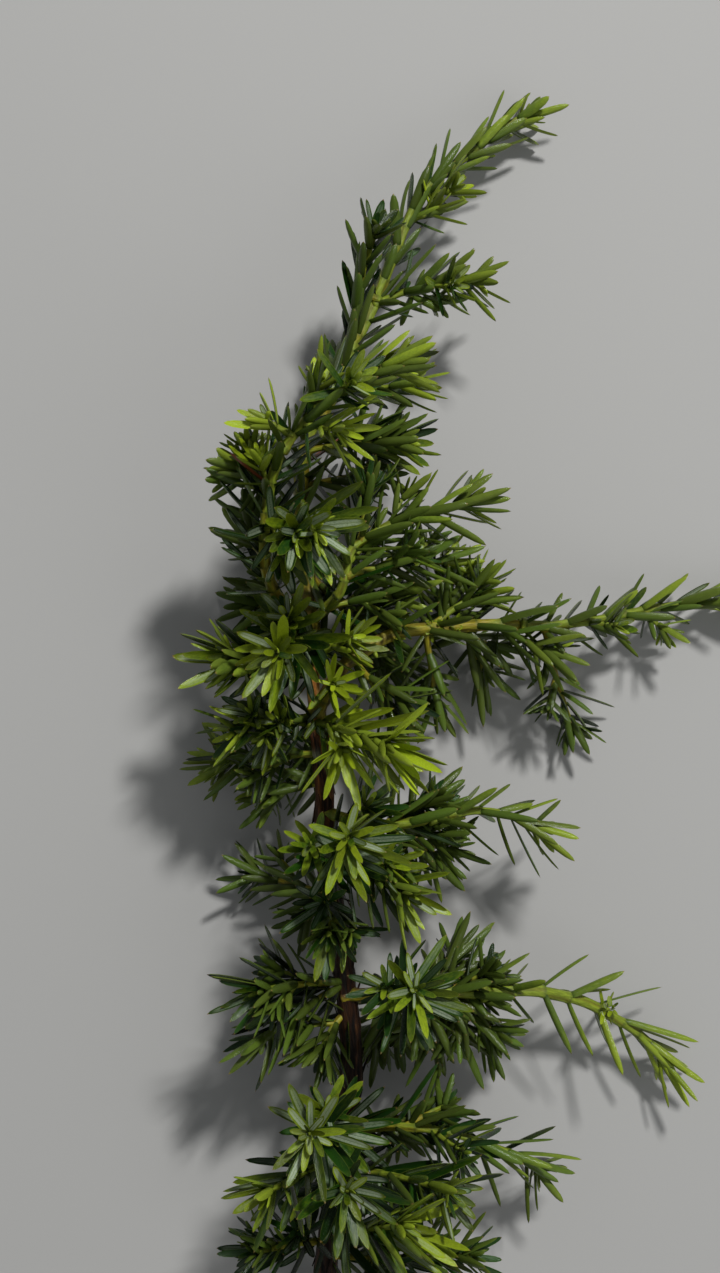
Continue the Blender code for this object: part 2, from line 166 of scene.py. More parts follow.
# Side shoots: name, the stem that carries it, how far along that stem it leaves, the
# heading of its foot (0 is +X, 90 is +Y), how steeply it rises there, its length, and
# how much heading and rise change from foot to bud. Then the angle between needle and
# twig at foot and bud, the length of its longest needles, and a seed for its chance.
sideShoots = [
    ("top_left", "leader_stem", 53.9, 88, 2, 21.6, -21, 29, (24, 34), 7.8, 763),
    ("top_right", "leader_stem", 62.6, 27, 3, 19.2, -28, -9, (59, 29), 7.8, 487),
    ("upper_right", "leader_stem", 34.6, 11, 15, 17.1, -14, -13, (55, 23), 9.3, 975),
    ("upper_right_back", "leader_stem", 28.9, 8, -26, 16.6, 16, -17, (56, 34), 8.6, 663),
    ("leader_back", "leader_stem", 51.1, 155, -77, 10.1, -20, 4, (51, 20), 8.2, 834),
    ("middle_right_back", "leader_stem", 14.1, -45, -34, 24.5, -8, 7, (69, 29), 10.4, 681),
    ("left_back", "leader_stem", 8, 172, -63, 16.9, 9, 37, (61, 43), 9.4, 993),
    ("fork_front", "leader_stem", 2.9, -164, 78, 21.1, 19, -9, (69, 48), 9.5, 662),
    ("left_low", "left_stem", 18.8, 133, -39, 7.2, 14, 4, (57, 40), 8.6, 631),
    ("left_front", "left_stem", 23.7, 3, 59, 15.9, -15, -9, (70, 60), 10.2, 117),
    ("left_top", "left_stem", 30, 126, -13, 8, 20, -9, (44, 40), 7.1, 118),
    ("right_upper_mid", "right_upper", 12.3, 16, -22, 21.7, -16, -17, (51, 39), 8.6, 795),
    ("right_upper_low", "right_upper", 5.3, 13, -13, 13.6, -9, -6, (70, 38), 8.4, 889),
    ("branch_front", "main_stem", 120.2, -4, 70, 26.5, -16, -17, (70, 27), 11.4, 121),
    ("branch_upper", "right_branch", 27.1, 47, -22, 12.2, -28, 14, (71, 43), 9.6, 603),
    ("branch_low_inner", "right_branch", 12, -49, -28, 14.7, -10, 0, (60, 29), 10, 182),
    ("branch_low_middle", "right_branch", 26, -80, -28, 16.2, -2, 0, (53, 26), 9.4, 124),
    ("branch_low_outer", "right_branch", 33.3, -78, -67, 15.5, 25, 34, (72, 28), 9.8, 898),
    ("branch_low_tip", "right_branch_tip", 4.5, -76, -36, 23.1, 10, 12, (70, 36), 7, 126),
    ("left_upper", "main_stem", 128.3, 163, 42, 18.5, 7, -5, (52, 33), 10.1, 290),
    ("left_middle", "main_stem", 121.4, 185, 20, 15.7, 12, 5, (44, 24), 9.2, 128),
    ("left_middle_low", "main_stem", 115, -174, -23, 21.5, 4, -6, (58, 37), 8.5, 909),
    ("left_lower", "main_stem", 109.4, 180, -63, 17.9, 13, 33, (67, 31), 8.3, 420),
    ("left_bend", "main_stem", 90.1, 171, -61, 20.2, 1, 44, (59, 20), 8, 131),
    ("left_dense", "main_stem", 75.2, 172, 32, 18.6, 9, 16, (58, 28), 9.8, 132),
    ("left_dense_low", "main_stem", 70.3, -143, 31, 9.2, 33, -15, (51, 31), 10.1, 887),
    ("front_middle", "main_stem", 95.3, 63, 71, 29.7, 4, 1, (49, 50), 9.5, 134),
    ("front_hanging", "main_stem", 90.6, -87, 68, 13.4, -16, -1, (54, 28), 9.1, 998),
    ("front_young", "main_stem", 96.1, 0, 46, 20.2, -31, -2, (67, 50), 9.6, 394),
    ("middle_top", "middle_stem", 12.6, 33, -33, 12.8, -19, -8, (55, 43), 8.9, 937),
    ("middle_low", "middle_stem", 13.2, -36, -38, 14.9, -8, -6, (50, 26), 8.8, 138),
    ("low_top", "low_stem", 16.2, 53, -59, 13.2, -10, -3, (58, 19), 9.2, 24),
    ("low_top_outer", "low_stem", 17.5, 13, -35, 9.8, -14, 3, (69, 30), 9, 559),
    ("low_front", "low_stem", 10, 44, 82, 19.1, 24, -14, (72, 56), 9.3, 462),
    ("low_bottom_outer", "low_stem", 17.7, -40, -31, 15.7, -16, -2, (56, 37), 8.9, 169),
    ("low_bottom", "low_stem", 13.8, -66, -43, 16.1, -15, -2, (60, 32), 8.6, 202),
    ("low_bottom_inner", "low_stem", 8.6, -87, -62, 18.1, -32, 29, (59, 31), 8.8, 743),
    ("base_top", "base_outer", 6.6, 8, -52, 13.3, -12, 40, (60, 17), 8.4, 810),
    ("base_front_left", "main_stem", 49.2, 129, 73, 28.1, 7, -2, (76, 60), 9.6, 734),
    ("base_left", "main_stem", 44.9, 180, 65, 23.8, 9, -14, (72, 50), 9.8, 147),
    ("base_front", "main_stem", 40.5, 76, 75, 26.3, -13, 7, (73, 58), 9.9, 35),
    ("base_right", "main_stem", 41.9, 18, 54, 27.6, -24, -16, (75, 60), 9.6, 260),
    ("base_low", "main_stem", 30.3, 39, 64, 27.5, -10, -14, (54, 50), 12.4, 204),
    ("base_left_low", "main_stem", 28, 161, 46, 17.6, 22, -9, (59, 32), 8.6, 549),
    ("base_right_low", "main_stem", 25.3, 7, 26, 27.2, 0, -14, (46, 45), 9.2, 553),
    ("base_back", "main_stem", 19, -72, -34, 12, 5, 26, (58, 34), 8.8, 146),
]

# Smaller shoots, each part of the piece that is named first. Their CAD solids are the
# neighbours' sleeves, so they only show here.
smallShoots = [
    ("leader_tip", "leader_tip", 17.2, -2, 11, 5.3, 51, -16, (39, 21), 7.5, 906),
    ("leader_tip", "leader_tip", 23.1, -9, 11, 5.3, 31, 1, (40, 36), 7.1, 404),
    ("left_stem_tip", "left_stem", 31, 119, 25, 5, -17, 11, (70, 45), 8.5, 443),
    ("left_stem_tip", "leader_stem", 46.1, 1, 12, 14, 4, -1, (57, 38), 8.5, 20),
    ("left_stem_tip", "left_stem_tip", 3.1, 158, 19, 5, -17, 6, (66, 26), 7.2, 927),
    ("left_stem_tip", "left_stem_tip", 7.9, 90, -7, 5.1, -31, 13, (66, 29), 7, 927),
    ("left_stem_tip", "left_stem_tip", 5.7, -22, 28, 6.5, 14, -3, (65, 40), 9.3, 48),
    ("right_branch_tip", "right_branch", 38.2, -25, -7, 11.1, -4, -6, (61, 37), 9.1, 204),
    ("right_branch_tip", "right_branch_tip", 12.3, -12, 12, 5.4, 12, 6, (60, 30), 7.1, 87),
    ("right_branch_tip", "right_branch_tip", 24, -50, -5, 5, 7, -1, (62, 36), 7.5, 469),
    ("branch_front", "right_branch", 4.8, 51, 73, 5.9, 2, 0, (64, 41), 7.5, 750),
    ("left_middle", "main_stem", 119.3, 160, 45, 10.3, 13, 6, (69, 32), 8.2, 208),
    ("low_stem_tip", "low_stem_tip", 23.5, 12, 25, 2.2, 0, 0, (30, 20), 4.2, 209),
    ("left_dense", "main_stem", 75, -160, 27, 16.9, 23, -20, (63, 29), 9.8, 462),
    ("branch_upper", "right_branch", 28.9, 86, -44, 12.1, -23, 5, (49, 27), 9.2, 665),
    ("middle_top", "middle_stem", 10.4, -67, 32, 8.3, 8, -16, (59, 34), 8.3, 160),
    ("base_outer", "base_outer", 11.9, 29, -20, 8.8, -17, -12, (71, 31), 8.4, 475),
    ("right_upper", "right_upper", 18.9, 84, 6, 9.6, -4, 13, (52, 31), 8.4, 104),
    ("front_middle", "main_stem", 99.5, 43, 40, 13.3, 4, -2, (70, 51), 9.4, 593),
    ("branch_front", "main_stem", 131.5, 22, 48, 10.5, 8, -4, (66, 44), 7.8, 318),
    ("branch_front", "right_branch", 16.0, 100, 30, 0.9, 0, 0, (16, 8), 1.9, 730),
    ("branch_front", "right_branch", 20.9, 60, 80, 0.9, 0, 0, (16, 8), 1.9, 731),
    ("branch_front", "right_branch", 21.2, -80, 25, 1.1, 0, 0, (16, 8), 2.1, 732),
    ("branch_front", "right_branch", 26.8, 95, 35, 0.9, 0, 0, (16, 8), 1.9, 733),
    ("branch_front", "right_branch", 28.3, 80, 45, 0.9, 0, 0, (16, 8), 1.8, 734),
    ("branch_front", "right_branch", 31.0, -60, 45, 1.2, 0, 0, (18, 10), 2.4, 735),
]

# Painted light and shade by height: shoots that end high up get yellower, lighter needles, and those low
# down dark green
paintedLightByHeight = {"middle": 22, "perMm": 0.011, "atFoot": 0.5}

# What a side shoot is like unless shootChanges says otherwise
usualShoot = {
    "bare": 1.0,  # bare twig at its foot
    "radii": (0.65, 0.42),
    "youth": (0.05, 0.5),  # of needles and bark, at the foot and at the bud
    "internodes": (2.45, 1.7),  # spacing of the whorls at the foot and at the bud
    "opening": (58, 34),  # degrees between needle and twig, at the foot and at the bud
    "tip": "brush",
    "needle": 8.8,  # length of its longest needles
    "brushLength": 2.2,  # the closing whorls begin this far before the bud
    "twiglets": 2,  # side twigs of its own
    "twigletLength": 5.5,
    "bloom": 0.14,  # how pale the band on the needles' upper faces is: the real bloom, and painted sheen too
    "sweep": (0, 0, 0),  # what all its needles lean towards
    "broad": 1.0,  # how broad its needles are
}
# What differs on the leafy end of a stem, and on the smaller shoots
usualTip = {"bare": 0.8}
smallChanges = {"twiglets": 0, "radii": (0.5, 0.38), "tip": "brush", "brushLength": 1.5}
# Three habits that several shoots share
youngFront = {
    "youth": (0.2, 0.68), "internodes": (2.8, 2.0), "twiglets": 1, "tip": "star", "bloom": 0.5,
    "broad": 1.08,
}
fullNeedles = {"internodes": (3.0, 2.2), "twiglets": 0, "broad": 1.15}
openShoot = {"youth": (0.1, 0.55), "internodes": (3.6, 2.5), "twiglets": 1}
shootChanges = {
    "branch_low_inner": openShoot,
    "branch_low_middle": openShoot,
    "branch_low_outer": openShoot,
    "branch_low_tip": openShoot,
    "leader_tip": {"youth": (0.7, 1.15), "bloom": 0.3},
    "left_stem_tip": {"youth": (0.5, 1.0), "bloom": 0.25},
    "right_branch_tip": {"youth": (0.35, 0.85), "bloom": 0.25},
    "low_stem_tip": {"youth": (0.7, 1.1)},
    "top_left": {"youth": (0.1, 0.5), "broad": 1.3, "twiglets": 0, "internodes": (3.1, 2.3)},
    "top_right": {"youth": (0.5, 0.9), "broad": 1.12},
    "leader_back": {"broad": 1.2, "twiglets": 0, "internodes": (3.1, 2.3)},
    "upper_right": {"youth": (0.15, 0.65), "broad": 1.1},
    "right_upper_mid": {"youth": (0.2, 0.85), "bloom": 0.25},
    "right_upper_low": {"youth": (0.2, 0.85), "bloom": 0.25},
    "branch_upper": {"youth": (0.2, 0.85), "bloom": 0.25},
    "left_middle": {"youth": (0.3, 0.85), "bloom": 0.3},
    "left_middle_low": {"youth": (0.3, 0.88), "bloom": 0.3},
    "left_lower": {"youth": (0.25, 0.82), "bloom": 0.2},
    "left_top": {"youth": (0.25, 0.72), "broad": 1.25},
    "left_low": {"broad": 1.2},
    "left_back": {"broad": 1.15},
    "branch_front": {"youth": (0.9, 1.05), "twiglets": 1, "bloom": 0.15, "sweep": (0.5, -0.35, 0)},
    "fork_front": {
        "youth": (0.3, 0.85), "bloom": 0.3, "tip": "star", "sweep": (-0.1, -0.25, 0), "broad": 1.2,
    },
    "left_front": {
        "youth": (0.2, 0.58), "bloom": 0.65, "tip": "star", "sweep": (0.25, -0.3, 0), "broad": 1.32,
    },
    "front_middle": {**youngFront, "sweep": (0.3, -0.35, 0)},
    "front_young": {"youth": (0.35, 0.8), "bloom": 0.3, "sweep": (0.35, -0.35, 0)},
    "front_hanging": {"sweep": (0, -0.5, 0)},
    "base_front_left": {**youngFront, "sweep": (0.45, -0.4, 0)},
    "base_left": {**fullNeedles, "youth": (0.35, 0.8), "bloom": 0.25, "sweep": (-0.25, -0.5, 0)},
    "base_right": {**youngFront, "sweep": (0.4, -0.45, 0)},
    "base_low": {**fullNeedles, "youth": (0.35, 0.85), "bloom": 0.2, "sweep": (0.45, -0.4, 0)},
    "base_front": {
        **fullNeedles, "youth": (0.15, 0.58), "bloom": 0.6, "tip": "star", "sweep": (0.3, -0.5, 0),
    },
    "low_front": {
        "youth": (0.12, 0.62), "internodes": (2.8, 2.0), "twiglets": 1, "tip": "star", "bloom": 0.5,
        "sweep": (0.3, -0.3, 0),
    },
    "left_upper": {"youth": (0.3, 0.75), "bloom": 0.6, "sweep": (-0.15, -0.3, 0), "broad": 1.25},
    "left_dense": {"sweep": (-0.15, -0.3, 0)},
}

# Places that particular needle tips reach, for each piece, in mm. The nearest needle of
# the piece is turned to end there and isn't moved by its neighbours.
aimedTips = {
    "base_front": [
        (-21.3, -81, 30.9), (-26.3, -72.3, 43.8), (-17.4, -71.4, 41.3), (-13.1, -74.2, 36),
        (-33.8, -73.5, 16.2),
    ],
    "base_front_left": [
        (-34.9, -64.3, 30.4), (-36.6, -58.5, 35.6), (-32.7, -53.5, 41.3), (-33.4, -70.6, 23.9),
        (-26.5, -72, 36.8), (-27.1, -63.7, 46.1), (-15.8, -73.9, 20.5), (-16.4, -66.6, 28.3),
        (-15.8, -61.5, 34.3), (-21.2, -57.7, 33.8), (-14.1, -64.4, 22.5), (-15, -63.3, 18.6),
        (-32.3, -72.6, 26.7), (-21.9, -56.6, 22.7),
    ],
    "base_left": [
        (-44.4, -74.8, 31.5), (-44, -73.3, 32.7), (-42.3, -76.8, 32.7), (-41.2, -71, 22.7),
        (-36.3, -77.1, 39.5), (-34.5, -80.6, 30.6), (-37.9, -72.2, 40.1), (-39.6, -79.3, 29.3),
        (-32.7, -73.6, 38.4), (-32.8, -75.1, 13.1), (-27.1, -72.8, 32.9),
    ],
    "base_left_low": [(-45.9, -87.3, 21.4), (-44.3, -85.4, 15.5)],
    "base_low": [
        (-18.3, -83.7, 38), (-14.4, -82.8, 40.1), (-11.5, -80.9, 41.9), (-9.1, -79.2, 34.5),
    ],
    "base_outer": [
        (6, -65, 17.7), (2.6, -80.5, 18), (13.8, -81, 14.5), (-0.3, -63.2, 27.3), (-13.8, -62.8, 13.2),
        (17.3, -73.8, 13.4), (-3.7, -60.8, 26.7), (15.9, -76.2, 13.2), (-1.6, -62.4, 23.9),
        (12.8, -68.3, 12), (12.2, -70.1, 14), (-4.3, -64.3, 9.9), (7.7, -84.1, 14.6),
        (-15, -63.4, 17.8), (-1.2, -63.3, 22.6), (1.5, -65.2, 23.4), (6.3, -72.3, 21.1),
        (3.3, -69, 11.2), (10.1, -80.5, 9.6), (-8.1, -55.8, 18.1), (-8.1, -59.4, 10.2),
        (-7.8, -57.4, 13.2), (-1.6, -65, 20.3), (-5.9, -62.5, 10), (-3.8, -66.5, 14.3),
        (-4.9, -62.8, 18.9), (-8.3, -61, 13.2), (-4.2, -63.2, 14.1), (-4.9, -61.9, 16.9),
    ],
    "base_right": [
        (-12.6, -75.2, 33.1), (-9.6, -78, 35.6), (-5.8, -71.4, 38.7), (-3.3, -75.2, 25.1),
        (-0.8, -74.5, 27.2), (-7.6, -71.9, 21), (-2.2, -77.1, 28.5),
    ],
    "base_right_low": [
        (0.1, -80.5, 19.8), (-1.6, -79.9, 17.8), (2.3, -87, 15.2), (1.8, -84.6, 21.2), (3, -89.8, 17),
        (2.9, -85.6, 17.9),
    ],
    "base_top": [
        (-5.5, -61.8, 13.4), (-14.7, -63.4, 9.2), (-12.3, -62.5, 16.5), (-10.5, -63.2, 9.5),
        (-2.1, -66.7, 10.3), (-7.3, -60.8, 7.1), (-5.3, -61.7, 13.8), (-6.4, -64.9, 7.9),
        (-7.6, -59.9, 10.4), (-4.1, -64.3, 10),
    ],
    "branch_front": [
        (-8.6, -4.1, 47), (-7.8, -3.3, 41.6), (-10.4, -4.2, 40.8), (-16.6, 10.9, 34.2),
        (-10.7, 6.6, 41.2), (-10.6, 4.9, 33.5), (-9.8, 1.2, 47.3), (-12, 3.2, 27.9), (-10.8, 0.5, 41),
        (-14.4, -0.1, 41.2), (-13, -2.2, 33.9), (-17.7, -1.7, 49.6), (-25.7, 0.1, 34.1),
        (-21.1, -0.2, 42.1), (-17.8, 19, 25.4), (-24.2, 21.3, 28.8),
    ],
    "branch_low_inner": [
        (-10.8, 13.7, 18.1), (-6.1, 12.9, 18.1), (-5.3, 7.6, 15.4), (-7.7, 3.2, 16.9),
    ],
    "branch_low_middle": [
        (-3.2, 1.8, 15.1), (-3.4, 15.5, 18.5), (-4.2, 4.5, 6.8), (-6.1, 0.1, 5.5), (-6.1, 2.4, 5.9),
        (-7.8, 1.6, 7.4), (-8.5, 2.7, 13.7), (-5.3, 5.4, 9.2),
    ],
    "branch_low_outer": [
        (0.3, 0.7, 8.4), (-1, 7.4, 13.8), (-10.4, 16.3, 12.2), (2, 2.6, 3.4), (1.3, 3.2, 5.5),
        (1.3, 6, 3.8),
    ],
    "branch_low_tip": [
        (19.3, -4.1, 6.2), (21.7, 0.1, 6.2), (24.2, 4.2, 2.9), (18.5, 7, 7.4), (22.3, -2, 4.8),
        (16.3, -3.9, 7.2), (9.6, 7.8, 13.6), (12.7, 5.4, 2.3), (8.9, 3.9, 4.8), (19.3, 3.3, 10.7),
        (19.4, -0.3, 3.3), (13.9, -2.8, 1.5), (17.9, -1.6, 4), (7, 3.4, 11.9), (7.5, 3.6, 6.3),
        (11, 4.2, 14.6), (11.5, 3.4, 12.4), (11.9, 3, 7.8),
    ],
    "branch_upper": [
        (1.2, 30, 22.4), (5.3, 28.8, 18.4), (6.3, 23.6, 19.6), (3.9, 30.2, 14), (1, 32.3, 11.9),
        (-7.4, 28.1, 8.8),
    ],
    "fork_front": [
        (-32.2, 24.6, 29.7), (-27.1, 20.8, 37), (-28.6, 18, 35.8), (-35.3, 19.4, 41),
        (-34.5, 10.3, 41.8), (-31.8, 9.8, 43.7), (-26.3, 15.6, 37), (-28.9, 6.5, 36.6),
        (-41.3, 21.4, 29.3),
    ],
    "front_hanging": [
        (-21.3, -32.3, 31.7), (-22.1, -35.6, 34.6), (-34.4, -31, 33.2), (-32.2, -24.1, 28.4),
        (-32.7, -26.9, 29.3), (-33.3, -30.1, 24.9), (-26.5, -31.6, 34), (-25.4, -34.4, 23.2),
        (-22.3, -31.5, 26.3), (-20.1, -30.3, 30.7), (-30.4, -35.3, 34.2), (-17.9, -33.5, 24.3),
        (-22.1, -36.5, 24.2), (-16.2, -31.7, 26.1), (-22.4, -35.5, 24.7), (-22, -31, 30.8),
        (-21.4, -33.6, 27.7),
    ],
    "front_middle": [
        (-32.2, -18.6, 34.5), (-28.4, -14, 45.9), (-22.5, -13.3, 34.9), (-24, -11.1, 41.8),
        (-14.5, -8.1, 22.1), (-17.5, -9.7, 48.2), (-15.3, -12.3, 46.4), (-13.7, -17.9, 47.7),
        (-28.2, -21.5, 42), (-24.7, -21.2, 47), (-20.4, -24.9, 41.7), (-17.8, -18.3, 45.4),
        (-12.1, -14.4, 43.1), (-32.5, -17.4, 25.1), (-13.3, -11.8, 21), (-33.7, -21.2, 35),
        (-32.1, -12.7, 33.2), (-32.7, -16.3, 35.5),
    ],
    "front_young": [
        (-21.5, -27.1, 32.4), (-9.6, -23.3, 25.8), (-8.5, -24.2, 37.4), (-9.1, -25.8, 25),
        (-7.3, -27.7, 32.3), (-8.9, -28.5, 31.2), (-11.2, -28.1, 24.1), (-10.8, -31, 31),
        (-14.6, -26.1, 37.2), (-19.2, -26.2, 32), (-16.6, -31.1, 34), (-13.9, -33.6, 35.4),
        (-6.9, -21.3, 33.6), (-6.3, -28.8, 29.1),
    ],
    "leader_back": [(-23.7, 70.2, 15.3), (-29.4, 66.3, 4.8)],
    "leader_stem": [
        (-24.6, 73.2, 10.8), (-32.1, 55.7, 29), (-29.4, 64.1, 19.1), (-29.1, 65, 15.4),
        (-21.7, 75.6, 20.5), (-13.8, 72.9, 13.8), (-23.8, 80.3, 19.1),
    ],
    "leader_tip": [
        (10.7, 105.7, 1.6), (-7.9, 104, 8.9), (-15.8, 93, 17), (0.3, 93.5, 15.4), (-12.1, 98.9, 8.2),
        (-5.5, 106.6, 7.7), (15.4, 111.2, 6.7), (4.2, 114.1, 5.3), (11.9, 112, 9.1), (-10.7, 85.8, 7.5),
        (8.4, 105.8, 5.9), (1.4, 109, 7.4), (10.1, 109.1, 4.1), (-6.2, 90.8, 12.8), (-3.3, 92.1, 16.7),
        (-3.8, 92.5, 10.2), (-2.8, 92.4, 13.7), (-5.3, 91.7, 11.2), (-0.8, 94.6, 8.3),
        (-0.3, 93.8, 13.6),
    ],
    "left_back": [
        (-43.9, 27.7, 4), (-47.1, 24.7, 10.5), (-45.4, 16.3, 8.6), (-47.1, 19.6, 9.1),
        (-45.1, 20.8, 0.7), (-45.7, 27.3, 4.4), (-43, 17.3, 3.8), (-43.8, 20.9, 7.5),
        (-45.4, 27.1, 14.3), (-42, 30.4, 12.3), (-40.8, 27.9, 4.2), (-42.6, 24.9, 9.2),
    ],
    "left_bend": [
        (-43.9, -19.3, 7.2), (-40.2, -19.3, 1), (-46, -21.4, 8.8), (-47, -28.3, 8.1),
        (-47.5, -26.5, 3.5), (-42.3, -30.9, 2), (-31.9, -21.9, 14.7), (-32.8, -21.4, 3.1),
        (-42.1, -21.7, 5.3), (-36.9, -32, 13.5), (-31.1, -17.7, 8.5), (-40.3, -24.7, 4.7),
        (-31.4, -20.9, 2.8), (-35.4, -23.7, 2.8), (-35.7, -21.7, 4.2),
    ],
    "left_dense": [
        (-38.7, -35, 20.8), (-37.9, -32.3, 17.7), (-43.2, -55.8, 25.5), (-39.3, -59.9, 21.4),
        (-43.6, -50.6, 20.7), (-44.9, -54.2, 24.8), (-46.6, -45.3, 27.9), (-45.7, -38.2, 33.5),
        (-44.6, -53.6, 19.7), (-41.4, -36, 28.6), (-44.8, -44.4, 28.4), (-42.1, -47.9, 30.7),
        (-44.9, -39.6, 29.4),
    ],
    "left_dense_low": [
        (-31.2, -55, 25.3), (-32.2, -54.6, 23.1), (-34.7, -53.6, 27.3), (-29.4, -57.6, 18.9),
    ],
    "left_front": [
        (-23.9, 37.4, 39.7), (-20.7, 41.1, 47.3), (-24.7, 32.5, 35.3), (-29.1, 30.1, 51.8),
        (-32.4, 26.8, 52), (-36, 34.8, 49.5), (-26.9, 26.3, 41.3),
    ],
    "left_low": [
        (-43.3, 29.8, 27.2), (-41.3, 40.1, 27.7), (-46, 34.4, 34.2), (-46.2, 34.4, 28.7),
        (-44, 31.5, 25.4), (-46.5, 35, 27.6), (-44.3, 38.5, 27.4), (-42.1, 38.4, 24.3),
    ],
    "left_lower": [
        (-39.2, -16.7, 10.1), (-31.7, -6.7, 5.1), (-42.7, -16.7, 10.6), (-34.4, -14.7, 9.4),
        (-34.3, -5.6, 17.5), (-31, -1.4, 14.1), (-30.3, -2, 11.8), (-33.9, -4.1, 8.9),
        (-31.1, -4.6, 8.4), (-40, -17.1, 6.7), (-33.1, -15.2, 6.9), (-35.1, -13.8, 5.7),
        (-38.3, -15, 7.6),
    ],
    "left_middle": [(-45, 5.1, 30.9), (-49.5, 0.5, 20.6), (-49.4, 4.9, 26.7)],
    "left_middle_low": [
        (-48.6, -11.3, 14.3), (-43.8, -10.5, 9.1), (-53.1, -6.1, 11.8), (-51.8, -9.1, 10.8),
        (-31.9, -8.6, 22.5), (-52.3, -4.5, 10.8), (-49.5, 1.7, 6.3), (-53, -5.3, 9.5),
        (-50.4, -2.8, 6.9),
    ],
    "left_stem": [(-43.2, 38, 34), (-44.9, 34, 41), (-44.4, 33.6, 30.4), (-39.9, 51.5, 36.9)],
    "left_stem_tip": [
        (-8.5, 54.8, 22.5), (-16.6, 63.1, 45.8), (-6.5, 60.8, 25.9), (-9.4, 62.6, 46.5),
        (-6.7, 57, 23.1), (-19.9, 52.3, 44.7), (-7.4, 59.7, 16.4), (-12.4, 55.1, 26.4),
        (-8.8, 62.1, 39.6), (-9.9, 63.8, 45.5), (-9.5, 59.2, 45.2), (-27.9, 60.6, 50.8),
        (-27.4, 63.9, 46.5), (-26, 62.8, 47.2), (-29.3, 57.9, 50.5), (-32.9, 54.8, 34.9),
        (-30.7, 53.4, 48.1), (-35.7, 52.8, 40.5), (-29, 55.6, 45.1), (-27.9, 59.7, 44.4),
        (-12.7, 64.7, 40.5), (-19.7, 53.3, 47), (-17.4, 55.5, 26.5), (-8.6, 56.3, 26.6),
        (-38.6, 46.1, 46), (-42.3, 47.3, 40.6), (-32.7, 52.6, 47.5), (-37.8, 46.6, 43.9),
        (-35.6, 50.6, 47.5), (-35.8, 52.9, 39.1), (-35.8, 52.2, 44.4), (-28, 59.7, 47.4),
        (-28.9, 60.8, 39.9), (-28.7, 61.5, 38.7), (-28.8, 60, 43.1), (-18.1, 49.9, 41.5),
    ],
    "left_top": [
        (-46.4, 39.8, 29), (-47, 44.5, 32.5), (-46.3, 44, 36), (-44.6, 43.3, 37), (-40.7, 38.2, 29.7),
        (-46.3, 39.4, 29.4), (-46, 44.2, 35.8), (-45.6, 40.4, 32.7), (-45.1, 41.2, 30.8),
        (-44, 43.5, 29.7), (-43.8, 48, 38.8), (-36.2, 49.1, 36), (-40.8, 49.7, 37.2),
    ],
    "left_upper": [
        (-46.2, 20, 32.4), (-45.4, 19.7, 28.8), (-48.1, 18, 35), (-49.3, 15.8, 29.4),
        (-52.2, 13.6, 28.6), (-49, 10.6, 28), (-46.7, 8.6, 31.7), (-41.4, 18, 31.2),
        (-38.4, 20.8, 27.8), (-39.3, 10.5, 38.7), (-38.6, 7.2, 28.5), (-38.1, 10.3, 18.1),
        (-50.4, 14, 32.1), (-52.7, 13.8, 26.9),
    ],
    "low_bottom": [(-13.4, -61.8, 10.3), (-11.9, -58.4, 10.3), (-7.7, -60, 12.1)],
    "low_bottom_inner": [(-20.6, -42, 8.2), (-23.5, -61, 9.8)],
    "low_bottom_outer": [
        (-0.2, -60.9, 17), (1.8, -60.6, 13.1), (3.7, -59.9, 15), (4.2, -55.2, 19.5), (7.4, -51, 10.9),
        (4.8, -51.8, 10.5), (6.5, -48.2, 21.5), (4.3, -51.7, 21.4), (4.1, -51, 13), (4.4, -52.5, 16.9),
    ],
    "low_front": [
        (-17.2, -33.7, 42.4), (-7.2, -31.7, 30.3), (-23.5, -37.7, 34.9), (-21.1, -36.8, 37.2),
    ],
    "low_stem": [(7.2, -36.9, 19.9)],
    "low_stem_tip": [
        (37.2, -56.1, 6.7), (22.7, -55.5, 7.1), (18.2, -38.3, 13.2), (24.4, -40.7, 14.8),
        (15.7, -45.3, 10), (15.3, -55.6, 13.2), (18.9, -55.7, 14.5), (23.7, -58.3, 16.3),
        (31.9, -45.3, 6.5), (23.6, -47.6, 2.4), (29, -52.9, 2.5), (28.1, -60.9, 8.8),
        (37.9, -54.3, 9.1), (33.2, -66.3, 7), (39.4, -61.8, 8.2), (37.6, -64.3, 11.8),
        (36.5, -65.8, 8.2), (8.1, -40.1, 10.8), (8.7, -50, 13.4), (9.6, -40.6, 24.6),
        (36.7, -59.9, 9.2), (37.7, -60.7, 1.9), (32, -63.1, 1.7), (36.3, -59.3, 4.8),
        (22.6, -44.9, 10.2),
    ],
    "low_top": [
        (-1.9, -31.1, 8.3), (2.3, -33.4, 7.7), (-0.5, -33.6, 9.1), (1.4, -33.8, 11.5),
        (-3.4, -32.8, 6.3), (-7.9, -36.8, 4.2), (-4.4, -35.4, 6), (2.9, -37.8, 14),
    ],
    "low_top_outer": [
        (3.7, -37.3, 14.1), (4, -37.6, 11.8), (-0.8, -35, 15.3), (-1.3, -34.2, 16.5),
        (2.5, -37.3, 15.5), (0.7, -36, 21.1),
    ],
    "middle_low": [
        (0.8, -21.5, 21.2), (-9.1, -20.8, 24.8), (-3.5, -26.6, 17.9), (-3, -15.8, 26),
        (-6.6, -24.7, 14.8), (-2.6, -23.2, 17.2), (-9, -22.5, 11.8), (-7.5, -22.3, 24.1),
        (-6.9, -23.3, 16), (-1.2, -13.3, 21), (-4.6, -18.9, 11.1), (-3.9, -24.6, 18.3), (-2.7, -16, 20),
    ],
    "middle_right_back": [
        (-20.2, 20.4, 2.2), (-15.6, 21, 17.3), (-17.4, 15.8, 20.2), (-15.4, 23.2, 12.9),
        (-18.3, 16.1, 10.6), (-19.7, 17.6, 18.9), (-19.3, 17.3, 15.7), (-20.6, 24.3, 5.4),
    ],
    "middle_stem_tip": [
        (-0.7, -8.3, 17.7), (4.2, -8.4, 17.1), (9, -11.2, 15.3), (13.6, -11.3, 12.7),
